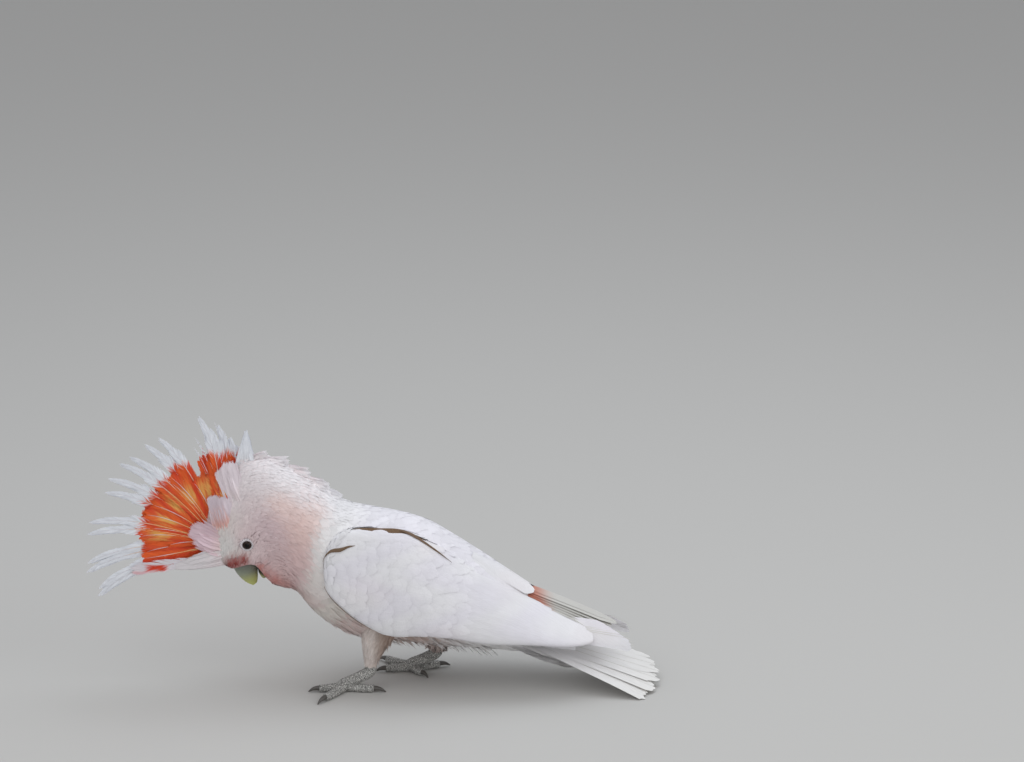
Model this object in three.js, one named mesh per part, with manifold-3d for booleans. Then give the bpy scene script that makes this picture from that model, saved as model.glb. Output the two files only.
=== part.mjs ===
// A male pink cockatoo at life size, standing with its head bowed and its crest fanned out.
// Millimetres, +Z up. The bill end is towards -X, the tail towards +X, and the bird's left side is at -Y.
import * as THREE from 'three';
import { mergeVertices } from 'three/addons/utils/BufferGeometryUtils.js';
import Module from 'manifold-3d';

const wasm = await Module();
wasm.setup();

// Driving dimensions
const GAP = 0.35; // clearance between pieces that touch
const FAR = 600; // a box this large stands for half of space

// Trunk, neck and head: the sections open like a fan from under the chin. Each row is a section's upper
// end (x, z), its lower end (x, z), its half width, and how much wider it is below than above.
const SECTIONS = [
  [-99.5, 100, -72, 90, 11, 0.1],
  [-112.5, 109.5, -63, 86.5, 16, 0.15],
  [-117, 127, -56.5, 83.5, 19, 0.2],
  [-115, 148, -51.5, 81.5, 21.5, 0.25],
  [-106, 171, -49, 81, 24, 0.25],
  [-90, 189, -47.5, 80.5, 27.5, 0.2],
  [-70, 194.5, -46, 80, 31, 0.15],
  [-48, 187, -44, 78.5, 34, 0.1],
  [-26, 173, -41, 75, 37, 0.05],
  [-6, 159.5, -36, 68, 39, 0],
  [15, 153, -27, 58.5, 40, 0],
  [39, 147, -13, 48.5, 40, 0],
  [62.5, 139, 8, 40, 40, 0],
  [87, 123.5, 45, 36.5, 39, 0],
  [116, 103, 77, 33, 35, 0],
  [140, 84, 110, 30, 28, 0],
  [153, 66, 138, 27, 20, 0],
  [165, 46, 158, 25, 14, 0],
  [182, 33, 180, 25.5, 6, 0],
];
const NECK_START = [[-47, 80.5], [-80, 191.5]]; // lower and upper end of the cut between head and neck
const NECK_END = [[-36, 68], [-6, 159.5]];

// Eyes
const EYE = { x: -81.6, z: 125, side: 19.7, radius: 4.6 };

// The edge of the face above the bill, from the ridge back to the chin, as (x, z)
const FACE_EDGE = [
  [-104, 99],
  [-94, 103.6],
  [-87, 106.5],
  [-82, 108.6],
  [-78, 108.2],
  [-74.6, 103],
  [-71.6, 97],
  [-66, 92.3],
];

// Bill: the ridge and the cutting edge of the upper half, as (x, z), with the half width between them
const BILL_UPPER = [
  [-99.5, 114, -85, 119, 6.5],
  [-97, 105.5, -79.5, 110.5, 7.6],
  [-93.5, 97, -76.2, 101, 7.4],
  [-89.5, 91.5, -75.4, 95.5, 6],
  [-84.5, 87, -75, 90.5, 3.9],
  [-78.8, 84.6, -75, 86.8, 1.7],
];
const BILL_LOWER = [
  [-74.5, 109, -65, 105, 6],
  [-73.2, 99, -65, 95, 6.2],
  [-72.8, 93.5, -68, 91, 4.8],
  [-72.5, 90.6, -70.5, 89.2, 2.4],
];

// Crest: feathers fan out from one centre. Each row is the angle of its upper and its lower tip, in
// degrees from +X towards +Z, and the length of the feather.
const CREST_CENTRE = new THREE.Vector3(-106, 0, 118);
const CREST_FEATHERS = [
  [201, 204, 102],
  [189, 193, 104.5],
  [170, 175.5, 104],
  [148.5, 155, 102],
  [134, 139.5, 101],
  [118.5, 125.5, 100.5],
  [97, 100, 105],
  [86.5, 91.5, 98],
];
const CREST_ROOT = 12; // distance of a feather's root from the centre
const CREST_WIDTH = 10.5;
const CREST_THICKNESS = 2.2;
const CREST_TRAIL = 11; // degrees by which a feather's middle trails behind its tip
const CREST_SPREAD = 4.2; // sideways stagger of the tips
const CREST_COVER_SPREAD = 3;
const CREST_PLATE = [ // outline of the thin plate that carries the feathers: angle, radius
  [202, 47],
  [190, 48],
  [175, 48],
  [160, 48],
  [145, 48],
  [130, 48],
  [115, 49],
  [105, 52],
  [100, 68],
  [90, 74],
  [75, 74],
];
const CREST_PLATE_THICKNESS = 2.6;
const CREST_COVERS = [ // short rounded feathers over the base: angle, length, width
  [204, 48, 11],
  [146, 31, 17],
  [97, 42, 17],
  [92, 69, 15],
  [76, 97, 10],
];

// Wings: rows run from the bend of the wing to the end of the secondaries: upper edge (x, side, z),
// lower edge (x, side, z), outward bulge and depth. "side" is the distance from the middle plane.
const WING_ROWS = [
  [-22, 41, 110, -22, 41, 105, 1, 6],
  [-19, 38, 124, -19, 42, 92, 5, 14],
  [-10, 34, 136, -10, 42, 80, 8, 20],
  [3, 32, 140.5, 9, 42, 64.5, 10, 24],
  [23, 31, 141, 31, 43, 54.5, 11, 26],
  [43, 30, 139, 56, 45, 55, 11, 26],
  [66, 27, 126.5, 80, 45, 53, 10, 24],
  [100, 21, 105, 111, 44, 48.5, 9, 18],
  [136, 14, 84.5, 145, 41, 47, 9, 11],
  [169, 10, 70.5, 172, 36, 43.5, 7, 7],
  [189, 9, 61.5, 190, 31, 43.5, 5, 5],
  [199, 10, 53.5, 199, 27, 46, 2, 2.4],
];
const WING_EDGE = 1; // thickness of the rim
const PRIMARY_ROOT = [150, 33, 60]; // x, side, z
const PRIMARY_BEND = [196, 27, 54];
const PRIMARY_THICKNESS = 1.6;
const PRIMARIES = [ // tip (x, side, z) and width of the long outer feathers
  [228, 23, 37.5, 15],
  [225, 21, 44, 14],
  [215, 17, 51, 13],
];

// Tail: a part-opened fan, its left side a little lower. Each place is (x, half spread, z).
const TAIL_FEATHERS = 12;
const TAIL_ROOT = [112, 9, 52];
const TAIL_BEND = [178, 19, 31];
const TAIL_TIP = [251.5, 37, 6.2];
const TAIL_WIDTH = 19;
const TAIL_THICKNESS = 1.5;
const TAIL_ROLL = 4; // rise of the right edge's tip, and fall of the left one's
const TAIL_ROUNDNESS = 11; // how much shorter the outer feathers are
const TAIL_STEP = 2.7; // how far under the middle feathers the outer ones start

// Legs: the left one is forward. x is the place of the ball of the foot.
const LEGS = { left: { side: -1, x: -6, turn: 33 }, right: { side: 1, x: 47, turn: 20 } };
const STANCE = 23; // distance of each foot from the middle plane
const BALL_HEIGHT = 6.2; // centre of the ball of the foot above the ground
const HEEL_BACK = 25; // the heel joint, behind the ball of the foot
const HEEL_HEIGHT = 18;
const THIGH = [ // x from the heel joint, distance from the middle plane, z, radius
  [9, 21, 57, 14],
  [4, 21.5, 46, 12.5],
  [1, 22, 37, 10.5],
  [-0.5, 22, 28.5, 8.8],
  [-1, 22, 21, 7],
];
const TOES = [ // angle from the foot's own forward direction, length and claw length
  { angle: -26, length: 21, claw: 8 },
  { angle: 24, length: 28, claw: 9.5 },
  { angle: 140, length: 24, claw: 9 },
  { angle: -148, length: 15, claw: 7 },
];
const TOE_HEIGHT = 3; // centre line of a toe above the ground
const TOE_SHAPE = [ // share of the toe's length, height over its centre line, radius
  [0, 2, 4.2],
  [0.3, 0.6, 3.7],
  [0.65, 0, 3.5],
  [1, 0.1, 2.9],
];
const CLAW_SHAPE = [ // share of the claw's length, height over the toe's centre line, radius
  [0, 0.3, 2.3],
  [0.3, 0.5, 2],
  [0.65, -0.2, 1.4],
  [1, -2.25, 0.4],
];

const material = (color, roughness) => new THREE.MeshStandardMaterial({ color, roughness, metalness: 0 });
const MATERIALS = {
  white: material(0xece4e2, 0.85),
  pink: material(0xe3b4a9, 0.85),
  crest: material(0xe0552c, 0.8),
  horn: material(0xc9c9ae, 0.45),
  eye: material(0x0a0807, 0.08),
  skin: material(0x8d8a86, 0.75),
  claw: material(0x4b4744, 0.5),
};

const point = (x, y, z) => new THREE.Vector3(x, y, z);
const radians = THREE.MathUtils.degToRad;
const smooth = (t) => THREE.MathUtils.smoothstep(t, 0, 1);

/** A closed solid through rings of points, with a fan of triangles over each end. */
function loft(rings) {
  const sides = rings[0].length;
  const positions = rings.flat().flatMap((p) => p.toArray());
  const faces = [];
  for (let i = 0; i + 1 < rings.length; i += 1) {
    for (let j = 0; j < sides; j += 1) {
      const next = (j + 1) % sides;
      const [a, b, c, d] = [i * sides + j, i * sides + next, (i + 1) * sides + next, (i + 1) * sides + j];
      faces.push(a, b, c, a, c, d);
    }
  }
  for (const end of [0, rings.length - 1]) {
    const centre = rings[end].reduce((sum, p) => sum.add(p), point(0, 0, 0)).divideScalar(sides);
    const centreIndex = positions.length / 3;
    positions.push(...centre.toArray());
    for (let j = 0; j < sides; j += 1) {
      const pair = [end * sides + j, end * sides + ((j + 1) % sides)];
      faces.push(centreIndex, ...(end === 0 ? pair.reverse() : pair));
    }
  }
  const geometry = new THREE.BufferGeometry();
  geometry.setAttribute('position', new THREE.Float32BufferAttribute(positions, 3));
  geometry.setIndex(faces);
  return solid(geometry);
}

/** A three.js geometry as a solid that can be joined and cut. */
function solid(source) {
  const bare = source.clone();
  bare.deleteAttribute('normal');
  bare.deleteAttribute('uv');
  const merged = mergeVertices(bare, 1e-4);
  const vertProperties = new Float32Array(merged.attributes.position.array);
  const triVerts = new Uint32Array(merged.index.array);
  if (signedVolume(vertProperties, triVerts) < 0) {
    for (let i = 0; i < triVerts.length; i += 3) {
      [triVerts[i], triVerts[i + 1]] = [triVerts[i + 1], triVerts[i]];
    }
  }
  return new wasm.Manifold(new wasm.Mesh({ numProp: 3, vertProperties, triVerts }));
}

function signedVolume(vertices, triangles) {
  const corner = (i) => point(...vertices.slice(3 * triangles[i], 3 * triangles[i] + 3));
  let volume = 0;
  for (let i = 0; i < triangles.length; i += 3) {
    volume += corner(i).dot(corner(i + 1).cross(corner(i + 2))) / 6;
  }
  return volume;
}

const join = (solids) => solids.reduce((whole, next) => whole.add(next));

/** The main piece of a solid, without the slivers that a cut leaves. */
function mainPiece(form) {
  return form.decompose().reduce((best, piece) => (piece.volume() > best.volume() ? piece : best));
}

/** All of space on one side of the slanting cut from low to high, both (x, z). */
function sideOfCut([lowX, lowZ], [highX, highZ], towardsTail) {
  const up = point(highX - lowX, 0, highZ - lowZ).normalize();
  const across = point(up.z, 0, -up.x).multiplyScalar(towardsTail ? 1 : -1);
  const box = new THREE.BoxGeometry(FAR, FAR, FAR);
  const centre = point(lowX, 0, lowZ).addScaledVector(across, FAR / 2 + GAP / 2);
  const basis = new THREE.Matrix4().makeBasis(across, point(0, 1, 0), across.clone().cross(point(0, 1, 0)));
  return solid(box.applyMatrix4(basis.setPosition(centre)));
}

function aboveGround() {
  return solid(new THREE.BoxGeometry(FAR, FAR, FAR).translate(0, 0, FAR / 2));
}

/** A function of 0..1 that runs smoothly through rows of numbers. */
function through(rows) {
  return (t) => {
    const at = THREE.MathUtils.clamp(t, 0, 1) * (rows.length - 1);
    const i = Math.min(Math.floor(at), rows.length - 2);
    const f = at - i;
    const row = (k) => rows[THREE.MathUtils.clamp(k, 0, rows.length - 1)];
    return rows[0].map((_, c) => {
      const [a, b, p, q] = [row(i - 1)[c], row(i)[c], row(i + 1)[c], row(i + 2)[c]];
      const slopeStart = (p - a) / 2;
      const slopeEnd = (q - b) / 2;
      const f2 = f * f;
      const f3 = f2 * f;
      const ends = (2 * f3 - 3 * f2 + 1) * b + (3 * f2 - 2 * f3) * p;
      return ends + (f3 - 2 * f2 + f) * slopeStart + (f3 - f2) * slopeEnd;
    });
  };
}

/** The whole plump form from bill base to tail base, made larger all round by grow. */
function bodyForm(grow) {
  const [lengthSteps, sides] = [30, 18];
  const section = through(SECTIONS);
  const rings = [];
  for (let i = 0; i <= lengthSteps; i += 1) {
    const [topX, topZ, lowX, lowZ, halfWidth, wider] = section(i / lengthSteps);
    const centre = point((topX + lowX) / 2, 0, (topZ + lowZ) / 2);
    const half = point(topX, 0, topZ).sub(centre);
    half.setLength(half.length() + grow);
    const across = point(half.z, 0, -half.x).normalize();
    centre.addScaledVector(across, i === 0 ? -grow : 0).addScaledVector(across, i === lengthSteps ? grow : 0);
    const ring = [];
    for (let j = 0; j < sides; j += 1) {
      const a = (2 * Math.PI * j) / sides;
      const width = (halfWidth + grow) * Math.sin(a) * (1 - wider * Math.cos(a));
      ring.push(centre.clone().addScaledVector(half, Math.cos(a)).add(point(0, width, 0)));
    }
    rings.push(ring);
  }
  return loft(rings);
}

/** A feather: a diamond section carried along a bent shaft, full past its middle, round at its tip. */
function vane({ root, bend, tip, width, thickness, edgeways, steps = 5, rootWidth = 0.35, taper = 0.62 }) {
  const shaft = new THREE.QuadraticBezierCurve3(root, bend, tip);
  const diamond = [[1, 0], [0, 0.5], [-1, 0], [0, -0.5]];
  const rings = [];
  for (let i = 0; i <= steps; i += 1) {
    const t = (i / steps) * 0.995;
    const along = shaft.getTangent(t);
    const flat = along.clone().cross(edgeways).normalize();
    const side = flat.clone().cross(along).normalize();
    const past = Math.max(0, (t - taper) / (1 - taper));
    const half = (width / 2) * (rootWidth + (1 - rootWidth) * smooth(t / 0.5)) * Math.sqrt(1 - past * past);
    const corner = ([a, b]) => {
      return shaft.getPoint(t).addScaledVector(side, a * half).addScaledVector(flat, b * thickness);
    };
    rings.push(diamond.map(corner));
  }
  return loft(rings);
}

/** A round limb through centre points [x, y, z, radius], made larger all round by grow. */
function limb(rows, { steps, sides = 6, grow = 0 }) {
  const at = through(rows);
  const rings = [];
  for (let i = 0; i <= steps; i += 1) {
    const [x, y, z, radius] = at(i / steps);
    const before = point(...at((i - 0.5) / steps));
    const along = point(...at((i + 0.5) / steps)).sub(before).normalize();
    const across = along.clone().cross(Math.abs(along.z) > 0.9 ? point(0, 1, 0) : point(0, 0, 1)).normalize();
    const over = across.clone().cross(along);
    const outwards = grow * ((i === steps) - (i === 0));
    rings.push(Array.from({ length: sides }, (_, j) => {
      const a = (2 * Math.PI * (j + 0.5)) / sides;
      const offset = across.clone().multiplyScalar(Math.cos(a)).addScaledVector(over, Math.sin(a));
      return point(x, y, z).addScaledVector(offset, radius + grow).addScaledVector(along, outwards);
    }));
  }
  return loft(rings);
}

/** One half of the bill, from rows of ridge point, edge point and half width. */
function billHalf(rows, grow) {
  const [lengthSteps, sides] = [7, 10];
  const section = through(rows);
  const rings = [];
  for (let i = 0; i <= lengthSteps; i += 1) {
    const [ridgeX, ridgeZ, edgeX, edgeZ, halfWidth] = section(i / lengthSteps);
    const centre = point((ridgeX + edgeX) / 2, 0, (ridgeZ + edgeZ) / 2);
    const half = point(ridgeX, 0, ridgeZ).sub(centre);
    half.setLength(half.length() + grow);
    rings.push(Array.from({ length: sides }, (_, j) => {
      const a = (2 * Math.PI * j) / sides;
      const across = point(0, (halfWidth + grow) * Math.sin(a), 0);
      return centre.clone().addScaledVector(half, Math.cos(a)).add(across);
    }));
  }
  return loft(rings);
}

/** The point at a given angle and distance from the crest's centre, moved sideways by y. */
function crestPoint(angle, distance, y = 0) {
  const a = radians(angle);
  return CREST_CENTRE.clone().add(point(distance * Math.cos(a), y, distance * Math.sin(a)));
}

/** The thin plate in the middle plane that the crest's feathers grow from, made larger all round by grow. */
function crestPlate(grow) {
  const last = CREST_PLATE.length - 1;
  const apex = crestPoint((CREST_PLATE[0][0] + CREST_PLATE[last][0]) / 2, -4 * grow);
  const outline = new THREE.Shape();
  outline.moveTo(apex.x, apex.z);
  CREST_PLATE.forEach(([angle, radius], i) => {
    const turned = 4 * grow * ((i === 0) - (i === last));
    const corner = crestPoint(angle + turned, radius + 2 * grow);
    outline.lineTo(corner.x, corner.z);
  });
  const depth = CREST_PLATE_THICKNESS + 2 * grow;
  const plate = new THREE.ExtrudeGeometry(outline, { depth, bevelEnabled: false });
  return solid(plate.translate(0, 0, -depth / 2).rotateX(Math.PI / 2));
}

/** The fanned crest: split feathers and their short covers, rooted in the plates. */
function crestForm(headRoom) {
  const feather = (angle, length, width, y, trail, steps) => vane({
    root: crestPoint(angle - trail, CREST_ROOT),
    bend: crestPoint(angle - trail, 0.62 * length, y / 2),
    tip: crestPoint(angle, length, y),
    width,
    thickness: CREST_THICKNESS,
    edgeways: point(0, 1, 0).cross(crestPoint(angle, 1).sub(CREST_CENTRE)),
    taper: 0.5,
    steps,
  });
  const feathers = CREST_FEATHERS.flatMap(([upper, lower, length], i) => {
    const y = i % 2 ? CREST_SPREAD : -CREST_SPREAD;
    return [
      feather(upper, length - 2, CREST_WIDTH, y, CREST_TRAIL, 5),
      feather(lower, length, CREST_WIDTH, y, CREST_TRAIL, 5),
    ];
  });
  const covers = CREST_COVERS.flatMap(([angle, length, width]) => (
    [1, -1].map((side) => feather(angle, length, width, side * CREST_COVER_SPREAD, 0, 3))
  ));
  return join([...feathers, ...covers]).subtract(headRoom).add(crestPlate(0));
}

/** A folded wing: a bulging shell from the bend of the wing back, with the long outer feathers behind it. */
function wingForm(side, grow) {
  const [lengthSteps, archSteps] = [15, 6];
  const section = through(WING_ROWS);
  const rings = [];
  for (let i = 0; i <= lengthSteps; i += 1) {
    const [topX, topY, topZ, lowX, lowY, lowZ, bulge, depth] = section(i / lengthSteps);
    const centre = point((topX + lowX) / 2, (topY + lowY) / 2, (topZ + lowZ) / 2);
    const half = point(topX, topY, topZ).sub(centre);
    half.setLength(half.length() + grow);
    const arch = (a, out, shift) => {
      return centre.clone().addScaledVector(half, Math.cos(a)).add(point(0, out * Math.sin(a) + shift, 0));
    };
    const ring = [];
    for (let j = 0; j <= archSteps; j += 1) {
      ring.push(arch((Math.PI * j) / archSteps, bulge, grow));
    }
    for (let j = archSteps; j >= 0; j -= 1) {
      ring.push(arch((Math.PI * j) / archSteps, bulge - depth + WING_EDGE, -WING_EDGE - grow));
    }
    rings.push(ring.map((p) => point(p.x, side * p.y, p.z)));
  }
  const place = ([x, y, z]) => point(x, side * y, z);
  const primaries = PRIMARIES.map(([x, y, z, width]) => vane({
    root: place(PRIMARY_ROOT),
    bend: place(PRIMARY_BEND),
    tip: place([x, y, z]),
    width,
    thickness: PRIMARY_THICKNESS,
    edgeways: point(0, 0, 1),
    taper: 0.72,
  }));
  return join([loft(rings), ...primaries]);
}

/** The tail: overlapping feathers, the middle ones uppermost and longest. */
function tailForm() {
  const parts = [];
  for (let i = 0; i < TAIL_FEATHERS; i += 1) {
    const s = (2 * i) / (TAIL_FEATHERS - 1) - 1; // -1 at the left edge, 1 at the right
    const under = TAIL_STEP * Math.abs(s);
    const odd = i % 2;
    const place = ([x, spread, z], back, up) => point(x - back, spread * s, z + up);
    parts.push(vane({
      root: place(TAIL_ROOT, 0, -under),
      bend: place(TAIL_BEND, 0, 1.4 * s - 0.7 * under),
      tip: place(TAIL_TIP, TAIL_ROUNDNESS * s * s + 3 * odd, TAIL_ROLL * s - 1.6 * s * s - 0.3 * under),
      width: TAIL_WIDTH,
      thickness: TAIL_THICKNESS,
      edgeways: point(0, 1, 0),
      rootWidth: 0.5,
      taper: 0.86,
    }));
  }
  return join(parts).intersect(aboveGround());
}

/** Places on one leg: the ball of the foot, the heel, and each toe's line over the ground. */
function legPlan({ side, x, turn }) {
  const ball = point(x, side * STANCE, BALL_HEIGHT);
  const heel = point(x + HEEL_BACK, side * (STANCE - 1), HEEL_HEIGHT);
  const toes = TOES.map(({ angle, length, claw }) => {
    const a = radians(turn + angle);
    return { way: point(-Math.cos(a), side * Math.sin(a), 0), length, claw };
  });
  return { ball, heel, toes, side };
}

function thighForm({ heel, side }) {
  const rows = THIGH.map(([x, y, z, radius]) => [heel.x + x, side * y, z, radius]);
  return limb(rows, { steps: 7, sides: 12 });
}

/** One foot: the shank from the heel joint down to the ball, and its four toes. */
function footForm({ ball, heel, toes }, grow) {
  const rows = [
    [heel.x + 1, heel.y, heel.z + 12, 3.8],
    [heel.x, heel.y, heel.z + 2, 4.5],
    [heel.x - 4, heel.y, heel.z - 2.5, 4.8],
    [heel.x - 14, (heel.y + ball.y) / 2, heel.z - 7, 4.3],
    [ball.x, ball.y, ball.z, 4.8],
    [ball.x - 5, ball.y, ball.z - 2, 3.4],
  ];
  const toeForms = toes.map(({ way, length }) => {
    return limb(rayRows(ball, way, 0, length, TOE_SHAPE), { steps: 4, grow });
  });
  return join([limb(rows, { steps: 10, sides: 8, grow }), ...toeForms]).intersect(aboveGround());
}

/** Limb rows along a line over the ground that leaves a point, from one reach over a length. */
function rayRows(from, way, reach, length, shape) {
  return shape.map(([share, up, radius]) => {
    const along = reach + length * share;
    return [from.x + way.x * along, from.y + way.y * along, TOE_HEIGHT + up, radius];
  });
}

function clawForm({ ball }, { way, length, claw }) {
  return limb(rayRows(ball, way, length + 2 * GAP, claw, CLAW_SHAPE), { steps: 4 });
}

/** The space under the edge of the face, which the bill fills. */
function mouthRoom() {
  const outline = new THREE.Shape();
  outline.moveTo(-70, 60);
  outline.lineTo(-120, 80);
  for (const [x, z] of FACE_EDGE) {
    outline.lineTo(x, z);
  }
  const depth = 80;
  const prism = new THREE.ExtrudeGeometry(outline, { depth, bevelEnabled: false });
  return solid(prism.translate(0, 0, -depth / 2).rotateX(Math.PI / 2));
}

function eyeForm(side, grow) {
  const ball = new THREE.SphereGeometry(EYE.radius + grow, 10, 7);
  return solid(ball.translate(EYE.x, side * EYE.side, EYE.z));
}

const bird = new THREE.Group();

/** Adds one finished piece to the bird under its own name. */
function add(name, form, finish) {
  const { vertProperties, triVerts } = mainPiece(form).getMesh();
  const geometry = new THREE.BufferGeometry();
  geometry.setAttribute('position', new THREE.BufferAttribute(vertProperties, 3));
  geometry.setIndex(new THREE.BufferAttribute(triVerts, 1));
  geometry.computeVertexNormals();
  const mesh = new THREE.Mesh(geometry, finish);
  mesh.name = name;
  bird.add(mesh);
}

const body = bodyForm(0);
const bodyRoom = bodyForm(GAP);
const sockets = [
  mouthRoom(),
  crestPlate(GAP),
  billHalf(BILL_UPPER, GAP),
  billHalf(BILL_LOWER, GAP),
  eyeForm(-1, GAP),
  eyeForm(1, GAP),
];

const wholeHead = body.intersect(sideOfCut(...NECK_START, false));
const neck = body.intersect(sideOfCut(...NECK_START, true)).intersect(sideOfCut(...NECK_END, false));
add('head', sockets.reduce((head, socket) => head.subtract(socket), wholeHead), MATERIALS.pink);
add('neck', neck, MATERIALS.pink);
add('trunk', body.intersect(sideOfCut(...NECK_END, true)), MATERIALS.white);
add('tail', tailForm().subtract(bodyRoom), MATERIALS.white);
add('crest', crestForm(bodyRoom), MATERIALS.crest);
add('bill_upper', billHalf(BILL_UPPER, 0), MATERIALS.horn);
add('bill_lower', billHalf(BILL_LOWER, 0), MATERIALS.horn);
for (const [name, leg] of Object.entries(LEGS)) {
  const plan = legPlan(leg);
  add(`eye_${name}`, eyeForm(leg.side, 0), MATERIALS.eye);
  add(`wing_${name}`, wingForm(leg.side, 0).subtract(bodyRoom), MATERIALS.white);
  const thighRoom = join([bodyRoom, wingForm(leg.side, GAP), footForm(plan, GAP)]);
  add(`thigh_${name}`, thighForm(plan).subtract(thighRoom), MATERIALS.pink);
  add(`foot_${name}`, footForm(plan, 0), MATERIALS.skin);
  plan.toes.forEach((toe, i) => add(`claw_${name}_${i + 1}`, clawForm(plan, toe), MATERIALS.claw));
}

// The origin is under the middle of the bird's box, at the level that it stands on.
const box = new THREE.Box3().setFromObject(bird);
const middle = box.getCenter(point(0, 0, 0));
bird.position.set(-middle.x, -middle.y, -box.min.z);

export default bird;
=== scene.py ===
"""A male pink cockatoo at life size, head bowed and crest fanned, dressed feather by feather.

Sizes below are in millimetres in the bird's own design frame: -X is towards the bill, +X towards the tail,
-Y the bird's left and +Z up, with the ground at z = 0. place() turns them into metres in the shared frame.
"""
import math

import bmesh
import bpy
import numpy as np
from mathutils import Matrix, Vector


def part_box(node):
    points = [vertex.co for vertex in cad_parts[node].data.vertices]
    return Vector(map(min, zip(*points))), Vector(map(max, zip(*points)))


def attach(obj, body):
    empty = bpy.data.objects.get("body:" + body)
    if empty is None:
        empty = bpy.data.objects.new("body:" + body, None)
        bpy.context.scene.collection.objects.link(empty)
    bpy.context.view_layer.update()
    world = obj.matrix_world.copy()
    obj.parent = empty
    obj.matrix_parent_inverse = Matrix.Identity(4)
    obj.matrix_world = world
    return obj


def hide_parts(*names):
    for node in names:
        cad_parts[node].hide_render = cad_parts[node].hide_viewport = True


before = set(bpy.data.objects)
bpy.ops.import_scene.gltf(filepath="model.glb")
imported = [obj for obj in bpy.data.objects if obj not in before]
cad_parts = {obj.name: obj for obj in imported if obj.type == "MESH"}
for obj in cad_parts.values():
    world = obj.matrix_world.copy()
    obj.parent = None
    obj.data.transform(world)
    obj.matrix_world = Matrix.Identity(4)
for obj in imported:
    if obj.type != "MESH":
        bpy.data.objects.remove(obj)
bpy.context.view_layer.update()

rng = np.random.default_rng(7)

# ---- driving sizes

EYE = np.array([-81.6, 19.7, 125.0])  # x, distance from the middle plane, z
EYE_RADIUS = 4.6
EYE_SURFACE = np.array([-83.4, 22.4, 125.0])  # middle of the eye at the feathers' surface
EYE_RING = 5.4  # radius of the bare ring round the eye
LID_OPENING = 2.95  # radius of the opening between the lids
EYE_DEPTH = 2.4  # how deep the middle of the ball lies under the surface

# Body sections, fanned out from under the chin: upper end (x, z), lower end (x, z), half width, and how
# much wider the section is below than above
SECTIONS = [
    [-99.5, 100, -72, 90, 11, 0.1],
    [-112.5, 109.5, -63, 86.5, 16, 0.15],
    [-117, 127, -56.5, 83.5, 19, 0.2],
    [-115, 148, -51.5, 81.5, 21.5, 0.25],
    [-106, 171, -49, 81, 24, 0.25],
    [-90, 188, -47.5, 80.5, 27.5, 0.2],
    [-70, 192, -46, 80, 31, 0.15],
    [-48, 183.5, -44, 78.5, 34, 0.1],
    [-26, 169.5, -41, 75, 37, 0.05],
    [-6, 155, -36, 68, 39, 0],
    [15, 149.5, -27, 58.5, 40, 0],
    [39, 145, -13, 48.5, 40, 0],
    [62.5, 137.5, 8, 40, 40, 0],
    [87, 122.5, 45, 36.5, 39, 0],
    [116, 103, 77, 33, 35, 0],
    [140, 84, 110, 30, 28, 0],
    [153, 66, 138, 27, 20, 0],
    [165, 46, 158, 25, 14, 0],
    [182, 33, 180, 25.5, 6, 0],
]
# Lower edge of the face above the bill, as (x, z)
FACE_EDGE = [
    [-104, 97],
    [-94, 102.6],
    [-87, 105.5],
    [-82, 107.6],
    [-77, 107.2],
    [-73, 103],
    [-69.5, 97],
    [-65, 91.3],
    [-63, 60],
]

# Bill halves: ridge (x, z), cutting edge (x, z), half width
BILL_UPPER = [
    [-100.5, 114, -85, 119, 6.5],
    [-98.5, 105.5, -79.5, 110.5, 7.6],
    [-95.2, 96.4, -76.6, 101, 7.4],
    [-91.2, 90.5, -76.4, 95.5, 6],
    [-86.2, 85.8, -76.4, 90, 3.9],
    [-80.6, 83.0, -77, 85.8, 1.7],
]
BILL_LOWER = [
    [-78, 109, -67, 105, 5.6],
    [-76.6, 99, -66.5, 95, 5.6],
    [-75.6, 94, -68, 91, 4.4],
    [-73.6, 90.6, -71, 89.2, 2.2],
]

# Crest: angles are in degrees from +X towards +Z, seen from the bird's left, about one centre
CREST_CENTRE = np.array([-106.0, 0.0, 118.0])
CREST_TIPS = [  # upper tip's angle and length, lower tip's angle and length, where the orange ends
    [201, 106, 204, 109, 59],
    [189, 109, 193, 111.5, 61],
    [170, 107, 175.5, 107.5, 66],
    [148.5, 105, 155, 102, 69],
    [134, 103.5, 139.5, 105.5, 71],
    [118.5, 102, 125.5, 103, 75],
    [98.3, 110, 94, 99, 78],
    [90.5, 101, 84.5, 91, 77],
]
CREST_TRAIL = 11  # how far a feather's root lags behind its tip, in degrees

# Wing rows: upper edge (x, side, z), lower edge (x, side, z) and outward bulge
WING_ROWS = [
    [-22, 41, 110, -22, 41, 105, 1],
    [-19, 38, 124, -19, 42, 92, 5],
    [-10, 34, 134, -10, 42, 80, 8],
    [3, 32, 138, 9, 42, 64.5, 10],
    [23, 31, 138, 31, 43, 54.5, 11],
    [43, 30, 136, 56, 45, 55, 11],
    [66, 27, 124, 80, 45, 53, 10],
    [100, 20, 103, 111, 44, 48.5, 9],
    [136, 11, 83.5, 145, 41, 47, 9],
    [169, 7, 69.5, 172, 36, 43.5, 7],
    [187, 7, 60.5, 187, 31, 43, 5],
    [195.5, 9, 54, 195, 27, 44, 2],
]
# How much higher the left and right wing's upper edges are held
WING_LIFT = {
    -1: [0, 2, 3, 3.5, 3.5, 3.5, 3, 1, -2.5, -5, -5, -3.5],
    1: [0, 0, 0, -1, -3, -3.5, -3, -2.5, -2.5, -1.5, 0, 0],
}
WING_OVERLAP = 9  # how far body feathers run in under a wing's edges
COVERED_SIDE, COVERED_FROM, COVERED_TO = 24, -8, 130  # least side, and range of x, of the body under the wings
PRIMARY_ROOT = np.array([140.0, 27, 62])
PRIMARY_BEND = np.array([192.0, 20, 53])
PRIMARY_TIPS = [  # tip (x, side, z)
    [228, 20, 37],
    [225, 18.5, 43.5],
    [214, 15.5, 50],
]

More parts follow.
